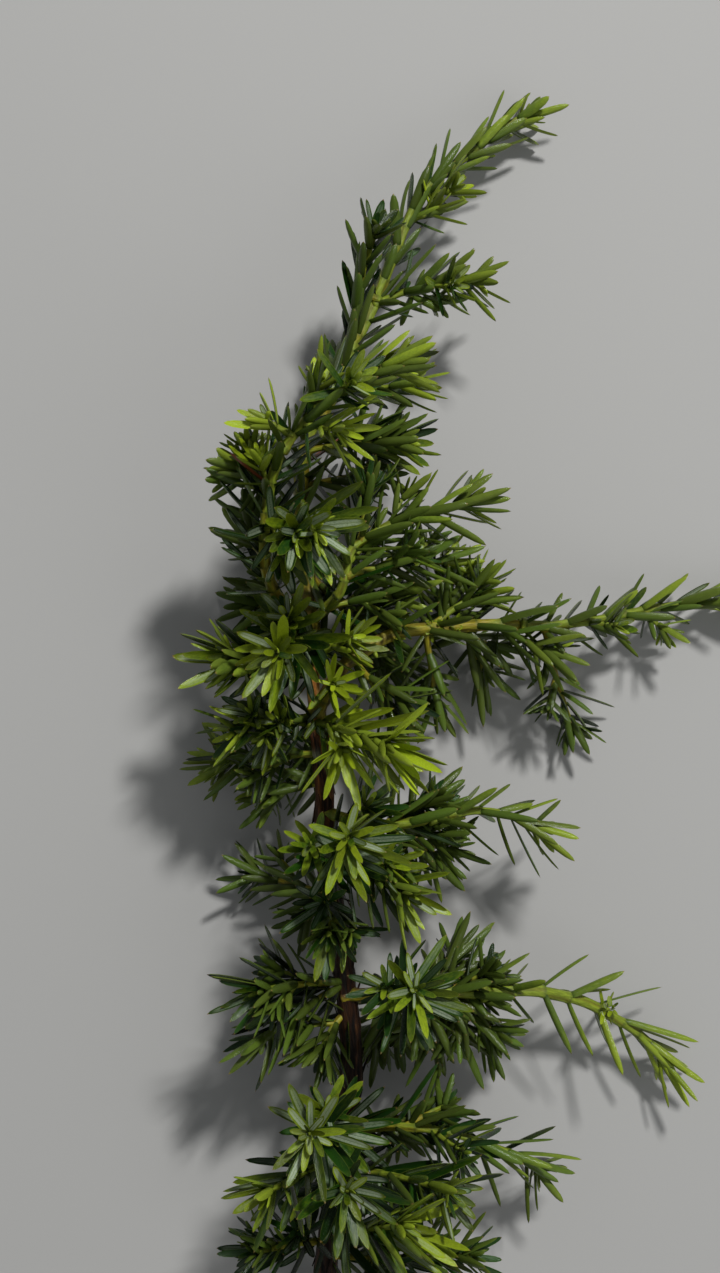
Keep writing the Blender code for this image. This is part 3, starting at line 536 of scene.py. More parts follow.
        (1.8, -19.6, 23.9), (5, -22.2, 19.3), (9.4, -24.1, 17), (12.8, -23.1, 16.8), (14.9, -21.1, 19),
        (15.7, -17.4, 19.4), (16, -15.8, 15.6), (-4.3, -18.7, 21.9), (1.2, -8, 27.8),
        (7.9, -11.5, 19.2), (12.6, -11.1, 14.7), (16.5, -15.9, 17), (11.7, -16.4, 12.3),
    ],
    "middle_top": [
        (-3.9, -5.3, 17.1), (-8.4, -7.9, 10.7), (-2.9, -10, 21), (-11.5, -3.2, 19.5),
        (-8.5, -7.4, 12.3), (-3.9, -5.5, 15.3), (-12.7, -6.5, 25.3), (-9.4, -6.5, 27.3),
        (-7, -7.2, 19.3),
    ],
    "right_branch": [
        (-17.8, 18.9, 10.2), (-14.6, 12.5, 29), (-13.7, 21.4, 13), (-9, 15, 10), (-8.2, 22.7, 27.1),
        (-4.4, 9.8, 13.8), (-0.2, 21.3, 11.6), (-11.7, 23.4, 10.2), (12.4, 22.2, 20.9),
    ],
    "right_branch_tip": [
        (21.9, 14.7, 11), (14.5, 23.4, 19.1), (21, 13.8, 10.5), (13.5, 8.8, 13.3), (17.9, 12, 18.6),
        (37.8, 19.4, 2.3), (36.2, 15.7, 12), (34.6, 15.1, 6.4), (26.3, 13.3, 18.2), (35.5, 27.4, 11.9),
        (29.7, 25.7, 4.4), (20.9, 26.1, 7.7), (13.6, 24.7, 14.4), (18, 23.5, 7.2), (25.1, 16.7, 13.8),
        (28.5, 26.3, 5.1), (38.7, 22.4, 10.9), (36.9, 28.1, 5.4), (42.9, 22.4, 7.4), (41.1, 26.5, 3.5),
        (45.3, 27.5, 5.8), (49.6, 20.2, 5.5), (52.5, 27.6, 6.1), (51.4, 20, 0.8), (51.3, 19.3, 10.1),
        (51, 20, 1.1), (6.6, 24.9, 14.9), (10.1, 6.8, 15.1), (10.1, 9.2, 7.5), (15.5, 8.8, 16.8),
        (24.2, 16.4, 19.2), (25.6, 16, 12), (25.4, 15.6, 15.2), (28.7, 16.5, 4.4), (33.4, 15.6, 2.3),
        (32.3, 15.2, 4.4), (32.7, 14.8, 12.1),
    ],
    "right_upper": [
        (-9.4, 44.9, 19.5), (3.8, 40.2, 22.9), (-16.9, 38.7, 23.4), (1.1, 44.6, 22), (-2.7, 45.6, 15.8),
        (2.8, 35.3, 18.3), (3.9, 41.9, 24.2), (4, 38.2, 21.7), (-0.4, 32.4, 23.4), (-20.1, 18.6, 24.2),
        (-29.9, 29.8, 25.7), (-12.8, 35.5, 32.7), (-21.3, 43.2, 25.8), (-9.7, 38.3, 30.1),
        (-10.1, 41.5, 21.9), (-6.3, 36.4, 27.4), (-9.6, 44.1, 25.3), (0.9, 36.5, 17.3),
        (1.9, 36.2, 19.5), (-17.4, 38.7, 18.3), (-11.7, 40.9, 26.9), (-10, 41.8, 27.4),
        (-16.1, 46.4, 23.1), (-9.2, 39.1, 17.3), (-14.8, 46.9, 26.4), (-13, 40.2, 16.5),
        (-15, 42.7, 24.9), (-14.3, 42.6, 18.5), (-10.6, 40.3, 20), (-14.8, 42.9, 21),
        (-13.2, 42.3, 19.9), (-19.3, 43.9, 31.9), (-16.9, 46, 24.7), (-18.3, 45.7, 32.7),
        (-21.8, 47, 26), (-17.1, 44.3, 26.9), (-19.1, 43.1, 31.4), (-21.5, 46.4, 29.1),
    ],
    "right_upper_low": [(-7.6, 26.4, 22.7), (-14.8, 18, 23.6)],
    "right_upper_mid": [
        (0, 32.4, 17.9), (-0.2, 32.2, 17.1), (-12.3, 39.6, 21.1), (-4.3, 34.2, 21.4),
        (-12.1, 37.6, 14.6), (-12, 36, 18.2), (-6.2, 33.5, 20.2), (-9.2, 35.2, 15.9),
    ],
    "top_left": [
        (-24.5, 81.4, 18.9), (-23.8, 86.5, 25.3), (-20.4, 90.5, 23.9), (-17.5, 90.5, 22.7),
        (-22.4, 72.2, 21.7), (-21, 76.6, 21.6), (-21.6, 77.7, 25.6), (-21.4, 83.6, 23),
        (-21.3, 89.3, 29.2),
    ],
    "top_right": [
        (-7.3, 71.5, 19.1), (-2.4, 72.3, 16), (-8.4, 83.3, 21.9), (-6.2, 81.5, 23.6),
        (-12.2, 72.1, 15.3), (1.9, 70.9, 17.4), (3.7, 80.3, 21.4), (-2, 82.1, 22.4), (4.6, 74.1, 17),
        (-9.6, 71.7, 20.6), (-7.3, 77, 11.3), (-4.7, 73.8, 17.3), (-4.2, 83.2, 15), (-0.4, 74.3, 17.2),
        (-1.6, 84.2, 14.3), (2, 78.7, 21.8), (1.7, 81.9, 15.3), (-14.5, 70.9, 12.2), (-8.3, 73.4, 9),
        (-2.7, 75.4, 14.9), (-10.6, 74.1, 9.7), (-7.7, 72.9, 10.9), (-5.6, 75.4, 15.7),
        (-5, 72.5, 21.6),
    ],
    "upper_right": [
        (-17.5, 54.8, 18.6), (-11, 44.5, 18.9), (-7.7, 47.3, 25.6), (-8, 53.7, 21.8),
        (-10.8, 45.4, 23.7), (-10, 46.8, 17.1), (-12.7, 56.5, 21.9), (-19.8, 58.8, 21.1),
        (-15.5, 54.3, 17.9), (-16.7, 53.6, 20.6), (-18.4, 55.3, 16), (-17, 53.8, 17.4),
        (-13.5, 57.6, 20.3),
    ],
    "upper_right_back": [
        (-13.1, 42.6, 12.1), (-17.1, 41.2, 17.1), (-19.8, 39.7, 17.1), (-19.6, 40.7, 20.6),
        (-21.4, 53.7, 11.4), (-12.9, 46.5, 15), (-22.4, 51, 8.2), (-16.5, 41.6, 10.9),
        (-17.4, 45.2, 6.2), (-17.1, 42.2, 5.1), (-18.4, 50.1, 5.4), (-17.7, 45, 5.1),
        (-17.8, 41.9, 20.3), (-17.9, 44.9, 16.1), (-18.7, 42.8, 19.5), (-19.4, 41.1, 15.8),
    ],
}

# Needles that have dropped off: the place where the tip would have been
droppedTips = {
    "base_outer": [(-3.5, -59.1, 17.4)],
    "branch_low_tip": [(9.1, 3.5, 7.6), (9.9, 2.7, 9.9)],
    "left_bend": [
        (-39.6, -20.1, 9.6), (-40.3, -21.8, 7.4), (-35.2, -16.9, 6.9), (-33.9, -19.6, 5.1),
        (-37.5, -19.6, 8.3), (-36.4, -19.9, 5.8), (-37.9, -21.8, 5.6),
    ],
    "left_stem_tip": [
        (-35.7, 58, 42.6), (-39.6, 54.5, 38.9), (-40.7, 51.7, 39.2), (-35.4, 55.1, 44.7),
        (-39.1, 49.5, 41.9), (-39.2, 50.7, 43.8), (-38.1, 52.1, 41.5), (-37.1, 53.3, 42.8),
    ],
    "middle_right_back": [(-17.3, 19.7, 13.3), (-18.4, 20.8, 15.9)],
    "right_branch_tip": [(30.2, 12.4, 7.6)],
    "right_upper": [(-9.8, 42.8, 23.8), (-12, 43.3, 22.1), (-13.9, 40.8, 26.8)],
    "right_upper_mid": [(-7.5, 38.5, 20.8), (-7.9, 36.1, 17.9)],
    "top_right": [(-6.9, 69.2, 14.6), (-6.9, 70.4, 13.8), (-6.4, 73.2, 13.7), (-6.9, 74.4, 11.7)],
}

spacing = {  # keeps the needles out of each other and out of the wood
    "rounds": 24,
    "searchEvery": 6,  # neighbours are looked for again after this many rounds
    "shares": (0.3, 0.5, 0.7, 0.9),  # the places along a needle that are kept apart
    "apart": 1.35,
    "reach": 1.2,  # neighbours are looked for this much further away
    "fromWood": 0.75,
    "woodReach": 4.0,
    "woodStep": 0.8,
    "push": 0.35,  # share of an overlap that one round takes away
    "mostPush": 0.12,
    "goBack": 0.03,  # share of the way back to its own direction in each round
    "aboveFloor": 0.35,
    "steepest": 0.98,  # sine of the steepest rise of a needle that is levelled
}


def unit(vector):
    return vector / np.linalg.norm(vector)


def between(pair, t):
    return pair[0] + (pair[1] - pair[0]) * t


def clamp(value, low=0, high=1):
    return min(high, max(low, value))


def smoothRoute(points):
    # a curve through all the points
    points = np.array(points, float)
    control = np.concatenate([[2 * points[0] - points[1]], points, [2 * points[-1] - points[-2]]])
    found = []
    for a, b, c, d in zip(control, control[1:], control[2:], control[3:]):
        steps = max(2, round(np.linalg.norm(c - b) / routeStep))
        for t in np.arange(steps) / steps:
            cubic = (3 * b - a - 3 * c + d) * t + (2 * a - 5 * b + 4 * c - d)
            found.append(b + 0.5 * t * ((c - a) + cubic * t))
    found.append(points[-1])
    return np.array(found)


def steppedRoute(foot, length, wayAt):
    # wayAt gives the direction for each share of the way along
    steps = max(4, round(length / routeStep))
    route = [np.array(foot, float)]
    for i in range(steps):
        route.append(route[-1] + wayAt((i + 0.5) / steps) * length / steps)
    return np.array(route)


def grownRoute(foot, heading, rise, length, turn, lift):
    def wayAt(t):
        way = math.radians(heading + turn * t)
        up = math.radians(rise + lift * t)
        return np.array([math.cos(up) * math.cos(way), math.cos(up) * math.sin(way), math.sin(up)])

    return steppedRoute(foot, length, wayAt)


def bentRoute(foot, away, towards, length):
    # starts in the direction away and turns half-way towards its carrier's own direction
    return steppedRoute(foot, length, lambda t: unit(away + towards * 0.5 * t))


class Axis:
    # the middle line of a stem or twig, with a frame that doesn't twist along it

    def __init__(self, points, radii):
        self.points = np.array(points, float)
        self.radii = radii
        steps = np.linalg.norm(np.diff(self.points, axis=0), axis=1)
        self.along = np.concatenate([[0], np.cumsum(steps)])
        self.length = self.along[-1]
        ahead = np.gradient(self.points, axis=0)
        self.ahead = ahead / np.linalg.norm(ahead, axis=1)[:, None]
        level = np.cross(self.ahead[0], (0, 0, 1))
        side = level if np.linalg.norm(level) > 0.2 else np.cross(self.ahead[0], (0, 1, 0))
        sides = []
        for forward in self.ahead:
            side = unit(side - forward * side.dot(forward))
            sides.append(side)
        self.side = np.array(sides)

    def at(self, distance):
        # the point at that distance and the directions ahead, sideways and up; goes on
        # straight past both ends
        inside = clamp(distance, 0, self.length)
        point, ahead, side = (
            np.array([np.interp(inside, self.along, values[:, i]) for i in range(3)])
            for values in (self.points, self.ahead, self.side)
        )
        ahead = unit(ahead)
        side = unit(side - ahead * side.dot(ahead))
        return point + ahead * (distance - inside), ahead, side, np.cross(side, ahead)

    def outward(self, distance, turn):
        point, ahead, side, up = self.at(distance)
        return point, ahead, math.cos(turn) * side + math.sin(turn) * up

    def radius(self, distance):
        return between(self.radii, clamp(distance / self.length))


needleChance = {  # how much one needle differs from the next
    "turn": 0.19, "opening": 0.12, "lean": 0.14,  # radians
    "length": 0.07, "width": 0.07,  # shares of the whole
    "youth": 0.13, "youngest": 1.3,
    "curl": (0.045, 0.04), "sway": (0, 0.02),  # middle and spread, as shares of its length
    "paleFew": 5,  # the higher, the fewer needles have a strong pale band of bloom and painted sheen
    "seat": 0.8,  # how far out in the bark its foot is, as a share of the radius
    "fullWidthFrom": 9, "slimmest": 0.45,  # shorter needles are slimmer
}

whorlHabit = {  # how whorls and needles change from foot to bud
    "uneven": (0.92, 1.08),  # least and most, as shares of the spacing
    "footLength": 0.8, "fullLengthFrom": 0.35,  # needles near the foot are shorter
    "lateYouth": 1.3,  # the higher, the later needles turn young
    "tipBloomAndSheen": 0.7, "tipSweep": 0.6,  # of the closing whorls, as shares of the others'
    "tipYouth": 0.06,  # for each mm past the bud
    "youngBark": 0.22,  # bark stays young for longer than needles
    "pastWhorls": 1.2,  # a twig goes on this far past its last whorl
}

tipWhorls = {  # past the bud, degrees from the twig, share of full length
    "brush": [(0.0, 30, 0.88), (0.7, 21, 0.72), (1.3, 12, 0.5), (1.7, 6, 0.3)],
    "star": [(0.0, 50, 0.85), (0.5, 40, 0.66), (0.9, 30, 0.48), (1.3, 20, 0.34), (1.6, 8, 0.24)],
}

needles = []
twigs = {}
wood = []  # axes that needles have to stay out of, with the length that counts


def addNeedle(piece, axis, station, turn, opening, length, look, chance):
    turn += chance.normal(0, needleChance["turn"])
    opening += chance.normal(0, needleChance["opening"])
    point, ahead, outward = axis.outward(station, turn)
    way = unit(math.cos(opening) * ahead + math.sin(opening) * outward + look["sweep"])
    face = math.sin(opening) * ahead - math.cos(opening) * outward
    face = unit(face - way * face.dot(way))
    lean = chance.normal(0, needleChance["lean"])
    face = math.cos(lean) * face + math.sin(lean) * np.cross(way, face)
    length *= chance.normal(1, needleChance["length"])
    curl = chance.normal(*needleChance["curl"])
    sway = chance.normal(*needleChance["sway"])
    slimmest = needleChance["slimmest"]
    shortIsSlim = min(1, slimmest + (1 - slimmest) * length / needleChance["fullWidthFrom"])
    pale = look["bloom"] * needleChance["paleFew"]
    needles.append({
        "piece": piece,
        "foot": point + outward * axis.radius(station) * needleChance["seat"],
        "way": way,
        "face": face,
        "length": length,
        "bow": (curl * face + sway * np.cross(way, face)) * length,
        "slim": chance.normal(1, needleChance["width"]) * shortIsSlim * look["broad"],
        "youth": clamp(chance.normal(look["youth"], needleChance["youth"]), 0, needleChance["youngest"]),
        "bloom": min(1, pale * chance.uniform(0, 1) ** needleChance["paleFew"]),
        "tone": chance.uniform(0, 1),
        "dry": 1.0 if chance.uniform(0, 1) < look.get("dry", 0) else 0.0,
        "held": False,
    })


def addWhorl(piece, axis, station, turn, degrees, length, look, chance):
    for i in range(3):
        addNeedle(piece, axis, station, turn + i * fullTurn / 3, math.radians(degrees), length, look, chance)


def growWhorls(piece, axis, grow, chance, last):
    # whorls of three; each is kept as its place, its turn and its share of the way
    habit = whorlHabit
    turn = chance.uniform(0, fullTurn)
    whorls = []
    for station in grow.get("whorlsAt", ()):
        whorls.append((station, turn + len(whorls) * whorlTurn, station / axis.length))
    station = grow["bare"]
    while station < last and "whorlsAt" not in grow:
        t = (station - grow["bare"]) / max(last - grow["bare"], tiny)
        whorls.append((station, turn + len(whorls) * whorlTurn, t))
        station += between(grow["internodes"], t) * chance.uniform(*habit["uneven"])
    for station, turn, t in whorls:
        length = grow["needle"] * between((habit["footLength"], 1), min(1, t / habit["fullLengthFrom"]))
        look = {**grow, "youth": between(grow["youth"], t ** habit["lateYouth"])}
        addWhorl(piece, axis, station, turn, between(grow["opening"], t), length, look, chance)
    turn = whorls[-1][1] if whorls else 0
    sweep = np.array(grow["sweep"]) * habit["tipSweep"]
    look = {**grow, "bloom": grow["bloom"] * habit["tipBloomAndSheen"], "sweep": sweep}
    for past, degrees, share in tipWhorls[grow["tip"]]:
        turn += whorlTurn
        look["youth"] = grow["youth"][1] + habit["tipYouth"] * past
        addWhorl(piece, axis, last + past, turn, degrees, grow["needle"] * share, look, chance)
    return whorls


def growTwig(piece, axis, whorls, youth, last):
    young = [share + whorlHabit["youngBark"] for share in youth]
    twigs.setdefault(piece, []).append({"axis": axis, "whorls": whorls, "youth": young, "last": last})
    wood.append((axis, last))


sideTwig = {  # a side twig of a shoot
    "radii": (0.42, 0.32), "bare": 1.8, "internodes": (2.2, 1.6), "opening": (60, 40), "tip": "brush",
    "start": 0.12, "range": 0.62,  # the part of the shoot that side twigs grow on, as shares
    "offEven": 0.2,  # how far each is off its even place
    "leaving": (42, 56),  # degrees away from the shoot
    "lengths": (1.15, 0.6),  # at foot and bud, as shares of twigletLength
    "lengthChance": (0.8, 1.2),
    "needleShare": 0.85,  # length of its needles, as a share of the shoot's
    "lowest": 14, "down": -0.3,  # below this height none points down more than this
    "pastWhorls": 0.9,  # it goes on this far past its last whorl
}


def growShoot(piece, axis, grow, chance):
    last = axis.length - grow["brushLength"]
    whorls = growWhorls(piece, axis, grow, chance, last)
    growTwig(piece, axis, whorls, grow["youth"], last + whorlHabit["pastWhorls"])
    for i in range(grow["twiglets"]):
        even = i + 0.5 + chance.uniform(-sideTwig["offEven"], sideTwig["offEven"])
        share = even / grow["twiglets"] * sideTwig["range"] + sideTwig["start"]
        station, turn, t = min(whorls, key=lambda whorl: abs(whorl[2] - share))
        turn += chance.integers(0, 3) * fullTurn / 3
        point, ahead, outward = axis.outward(station, turn)
        if point[2] < sideTwig["lowest"] and outward[2] < sideTwig["down"]:
            outward = outward * (1, 1, -1)
        leaving = math.radians(chance.uniform(*sideTwig["leaving"]))
        away = math.cos(leaving) * ahead + math.sin(leaving) * outward
        length = grow["twigletLength"] * between(sideTwig["lengths"], t)
        length *= chance.uniform(*sideTwig["lengthChance"])
        twiglet = Axis(bentRoute(point, away, ahead, length), sideTwig["radii"])
        small = {
            **sideTwig, "needle": grow["needle"] * sideTwig["needleShare"],
            "youth": (between(grow["youth"], t), between(grow["youth"], 0.5 + t / 2)),
            "bloom": grow["bloom"], "sweep": grow["sweep"], "broad": grow["broad"],
        }
        own = growWhorls(piece, twiglet, small, chance, length)
        growTwig(piece, twiglet, own, small["youth"], length + sideTwig["pastWhorls"])


def withPaintedLightByHeight(youth, axis):
    # painted light and shade: youth is raised for shoots that end high and lowered for low ones
    shift = paintedLightByHeight["perMm"] * (axis.points[-1][2] - paintedLightByHeight["middle"])
    return (youth[0] + shift * paintedLightByHeight["atFoot"], youth[1] + shift)


axes = {}
for name, stem in {**stems, **stemTips}.items():
    axes[name] = Axis(smoothRoute(stem["route"]), stem["radii"])
for name, tip in stemTips.items():
    growShoot(name, axes[name], {**usualShoot, **usualTip, **tip}, np.random.default_rng(tip["seed"]))

for rows, changes in ((sideShoots, {}), (smallShoots, smallChanges)):
    for name, carrier, distance, *growth, opening, longest, seed in rows:
        grow = {**usualShoot, **shootChanges.get(name, {}), **changes, "opening": opening, "needle": longest}
        axis = Axis(grownRoute(axes[carrier].at(distance)[0], *growth), grow["radii"])
        axes.setdefault(name, axis)
        grow["youth"] = withPaintedLightByHeight(grow["youth"], axis)
        growShoot(name, axis, grow, np.random.default_rng(seed))

stemHabit = {  # whorls on the stems themselves
    "seed": 170,  # of the first stem; each stem has the next one
    "first": 2.0, "end": 1.0,  # bare lengths at both ends
    "uneven": (0.9, 1.1),  # least and most, as shares of the spacing
    "opening": 46, "needle": 9.2,
    "young": 0.6,  # youth of the needles, as a share of the bark's
    "bloom": 0.14, "dry": 0.02, "broad": 1.1, "sweep": 0.0,
}
stemWhorls = {}
for seed, (name, stem) in enumerate(stems.items(), stemHabit["seed"]):
    chance = np.random.default_rng(seed)
    axis = axes[name]
    wood.append((axis, axis.length))
    turn = chance.uniform(0, fullTurn)
    whorls = []
    for station in stem.get("whorlsAt", ()):
        whorls.append((station, turn + len(whorls) * whorlTurn, station / axis.length))
    station = stemHabit["first"]
    while station < axis.length - stemHabit["end"] and "whorlsAt" not in stem:
        whorls.append((station, turn + len(whorls) * whorlTurn, station / axis.length))
        station += stem["nodes"] * chance.uniform(*stemHabit["uneven"])
    stemWhorls[name] = whorls
    for station, turn, t in whorls:
        if stem["leafyFrom"] is None or station < stem["leafyFrom"]:
            continue
        look = {**stemHabit, "youth": between(stem["youth"], t) * stemHabit["young"]}
        addWhorl(name, axis, station, turn, look["opening"], look["needle"], look, chance)

print("grown:", len(needles), "needles on", sum(len(parts) for parts in twigs.values()), "twigs")


def nearestTips(piece, places):
    # pairs each place with the nearest needle tip of that piece, closest pairs first
    own = [needle for needle in needles if needle["piece"] == piece]
    tips = np.array([needle["foot"] + needle["way"] * needle["length"] + needle["bow"] for needle in own])
    places = np.array(places, float)
    far = np.linalg.norm(tips[:, None] - places[None], axis=2)
    found = []
    for _ in places:
        i, j = np.unravel_index(np.argmin(far), far.shape)
        found.append((own[i], places[j]))
        far[i, :] = np.inf
        far[:, j] = np.inf
    return found


for piece, places in droppedTips.items():
    dropped = [id(needle) for needle, _ in nearestTips(piece, places)]
    needles = [needle for needle in needles if id(needle) not in dropped]
for piece, places in aimedTips.items():
    for needle, place in nearestTips(piece, places):
        reach = place - needle["foot"] - needle["bow"]
        needle.update(way=unit(reach), length=float(np.linalg.norm(reach)), held=True)


def searchTree(points):
    tree = kdtree.KDTree(len(points))
    for i, point in enumerate(points):
        tree.insert(point, i)
    tree.balance()
    return tree


def shoves(gap, room):
    # the push along each gap that is narrower than its room
    far = np.maximum(np.linalg.norm(gap, axis=1), tiny)
    return gap / far[:, None] * np.maximum(0, room - far)[:, None] * spacing["push"]


def spaceNeedles():
    # pushes needles apart where they would pass through each other or through wood
    feet, ways, bows = (np.array([needle[key] for needle in needles]) for key in ("foot", "way", "bow"))
    lengths = np.array([needle["length"] for needle in needles])
    wished = ways.copy()
    free = np.array([[0.0 if needle["held"] else 1.0] for needle in needles])
    owner = np.repeat(np.arange(len(needles)), len(spacing["shares"]))
    share = np.tile(spacing["shares"], len(needles))
    woodPlaces = [(axis, place) for axis, last in wood for place in np.arange(0, last, spacing["woodStep"])]
    woodPoints = np.array([axis.at(place)[0] for axis, place in woodPlaces])
    woodRadii = np.array([axis.radius(place) for axis, place in woodPlaces])
    woodTree = searchTree(woodPoints)

    def placesNow():
        straight = ways[owner] * (lengths[owner] * share)[:, None]
        return feet[owner] + straight + bows[owner] * (share**2)[:, None]

    def addPush(push, points, shove):
        np.add.at(push, owner[points], shove / lengths[owner[points]][:, None])

    for step in range(spacing["rounds"]):
        places = placesNow()
        if step % spacing["searchEvery"] == 0:
            tree = searchTree(places)
            pairs = []
            woodPairs = []
            for i, point in enumerate(places):
                for _, j, _ in tree.find_range(point, spacing["apart"] + spacing["reach"]):
                    if j > i and owner[j] != owner[i]:
                        pairs.append((i, j))
                for _, j, _ in woodTree.find_range(point, spacing["woodReach"]):
                    woodPairs.append((i, j))
            one, other = np.array(pairs).T
            near, bark = np.array(woodPairs).T
        push = np.zeros_like(ways)
        shove = shoves(places[one] - places[other], spacing["apart"])
        addPush(push, one, shove)
        addPush(push, other, -shove)
        addPush(push, near, shoves(places[near] - woodPoints[bark], woodRadii[bark] + spacing["fromWood"]))
        push -= ways * (push * ways).sum(axis=1)[:, None]
        strength = np.linalg.norm(push, axis=1)
        push *= (np.minimum(strength, spacing["mostPush"]) / np.maximum(strength, tiny))[:, None]
        ways = ways + free * (push + spacing["goBack"] * (wished - ways))
        ways /= np.linalg.norm(ways, axis=1)[:, None]
        # needles that would pass through the floor are levelled
        lowest = (spacing["aboveFloor"] - feet[:, 2] - bows[:, 2]) / lengths
        low = ways[:, 2] < lowest
        level = ways[:, :2] / np.linalg.norm(ways[:, :2], axis=1)[:, None]
        lowest = np.clip(lowest, -spacing["steepest"], spacing["steepest"])
        ways[low, 2] = lowest[low]
        ways[low, :2] = level[low] * np.sqrt(1 - lowest[low] ** 2)[:, None]
    for needle, way in zip(needles, ways):
        needle["face"] = unit(needle["face"] - way * needle["face"].dot(way))
        needle["way"] = way
    places = placesNow()
    gap = np.linalg.norm(places[one] - places[other], axis=1)
    print("spaced: closer than 0.5 mm", int((gap < 0.5).sum()), "of", len(gap), "near pairs")


spaceNeedles()


def feed(tree, node, inputs):
    # links what comes from another node and sets plain values
    for name, value in inputs.items():
        if isinstance(value, bpy.types.NodeSocket):
            tree.links.new(value, node.inputs[name])
        else:
            node.inputs[name].default_value = value


def addNode(tree, kind, inputs=None, **settings):
    node = tree.nodes.new(kind)
    for name, value in settings.items():
        setattr(node, name, value)
    feed(tree, node, inputs or {})
    return node


def calculate(tree, operation, *values):
    return addNode(tree, "ShaderNodeMath", dict(enumerate(values)), operation=operation).outputs[0]


def addSocket(tree, name, kind, value=None, low=None):
    socket = tree.interface.new_socket(name, in_out="INPUT", socket_type="NodeSocket" + kind)
    if value is not None:
        socket.default_value = value
    if low is not None:
        socket.min_value = low
    return socket.identifier


def makeSeatGrower():
    # copies of a shape on seats: each points along "way" with its face to "face"
    tree = bpy.data.node_groups.new("grow on seats", "GeometryNodeTree")
    addSocket(tree, "Geometry", "Geometry")
    keys = {
        "shape": addSocket(tree, "Shape", "Object"),
        "width": addSocket(tree, "Width", "Float", 0.0015, 0),
        "lengthSpread": addSocket(tree, "Length Spread", "Float", 0.04, 0),
        "curl": addSocket(tree, "Curl", "Float", 1.0),
        "seed": addSocket(tree, "Seed", "Int", 1),
        "finish": addSocket(tree, "Finish", "Material"),
    }
    tree.interface.new_socket("Geometry", in_out="OUTPUT", socket_type="NodeSocketGeometry")
    given = addNode(tree, "NodeGroupInput").outputs

    def read(name, kind="FLOAT"):
        return addNode(tree, "GeometryNodeInputNamedAttribute", {"Name": name}, data_type=kind).outputs[0]

    way, face, bow = (read(name, "FLOAT_VECTOR") for name in ("way", "face", "bow"))
    shape = addNode(tree, "GeometryNodeObjectInfo", {"Object": given["Shape"]}).outputs["Geometry"]
    align = "FunctionNodeAlignRotationToVector"
    along = addNode(tree, align, {"Vector": way}, axis="Z").outputs[0]
    turned = addNode(tree, align, {"Rotation": along, "Vector": face}, axis="Y", pivot_axis="Z").outputs[0]
    least = calculate(tree, "SUBTRACT", 1.0, given["Length Spread"])
    most = calculate(tree, "ADD", 1.0, given["Length Spread"])
    limits = {"Min": least, "Max": most, "Seed": given["Seed"]}
    factor = addNode(tree, "FunctionNodeRandomValue", limits, data_type="FLOAT")
    width = calculate(tree, "MULTIPLY", given["Width"], read("slim"))
    length = calculate(tree, "MULTIPLY", read("size"), [out for out in factor.outputs if out.enabled][0])
    scale = addNode(tree, "ShaderNodeCombineXYZ", {0: width, 1: width, 2: length}).outputs[0]
    inputs = {"Points": given["Geometry"], "Instance": shape, "Rotation": turned, "Scale": scale}
    copies = addNode(tree, "GeometryNodeInstanceOnPoints", inputs).outputs[0]
    solid = addNode(tree, "GeometryNodeRealizeInstances", {"Geometry": copies}).outputs[0]
    lift = calculate(tree, "MULTIPLY", calculate(tree, "POWER", read("share"), 2.0), given["Curl"])
    offset = addNode(tree, "ShaderNodeVectorMath", {0: bow, "Scale": lift}, operation="SCALE").outputs[0]
    bent = addNode(tree, "GeometryNodeSetPosition", {"Geometry": solid, "Offset": offset}).outputs[0]
    inputs = {"Geometry": bent, "Material": given["Finish"]}
    finished = addNode(tree, "GeometryNodeSetMaterial", inputs).outputs[0]
    addNode(tree, "NodeGroupOutput", {0: finished})
    return tree, keys


seatGrower, seatKeys = makeSeatGrower()


def noiseAt(tree, place, scale, detail=3.0, rough=0.55):
    inputs = {"Vector": place, "Scale": scale, "Detail": detail, "Roughness": rough}
    return addNode(tree, "ShaderNodeTexNoise", inputs).outputs[0]


def spread(tree, value, fromLow, fromHigh, toLow=0.0, toHigh=1.0, smooth=True):
    inputs = {"Value": value, "From Min": fromLow, "From Max": fromHigh, "To Min": toLow, "To Max": toHigh}
    kind = "SMOOTHSTEP" if smooth else "LINEAR"
    return addNode(tree, "ShaderNodeMapRange", inputs, interpolation_type=kind).outputs[0]


def makeFibreGroup():
    # long thin fibres: fine lines, and broad patches that are stretched the same way
    group = bpy.data.node_groups.new("fibres", "ShaderNodeTree")
    addSocket(group, "Place", "Vector")
    for name, value in (("Across", 3.0), ("Along", 0.3), ("Shift", 0.0)):
        addSocket(group, name, "Float", value)
    for name in ("Lines", "Patches"):
        group.interface.new_socket(name, in_out="OUTPUT", socket_type="NodeSocketFloat")
    given = addNode(group, "NodeGroupInput").outputs
    across, along = given["Across"], given["Along"]
    stretch = addNode(group, "ShaderNodeCombineXYZ", {0: across, 1: across, 2: along}).outputs[0]
    shift = addNode(group, "ShaderNodeCombineXYZ", {2: given["Shift"]}).outputs[0]
    inputs = {0: given["Place"], 1: stretch, 2: shift}
    place = addNode(group, "ShaderNodeVectorMath", inputs, operation="MULTIPLY_ADD").outputs[0]
    lines = spread(group, noiseAt(group, place, 1.0, 4.0, 0.6), 0.3, 0.7)
    patches = spread(group, noiseAt(group, place, 0.27, 2.0), 0.35, 0.65)
    addNode(group, "NodeGroupOutput", {"Lines": lines, "Patches": patches})
    return group


fibreGroup = makeFibreGroup()


def withAlpha(value):
    # a colour gets its alpha; a socket stays as it is
    return (*value, 1) if isinstance(value, tuple) else value


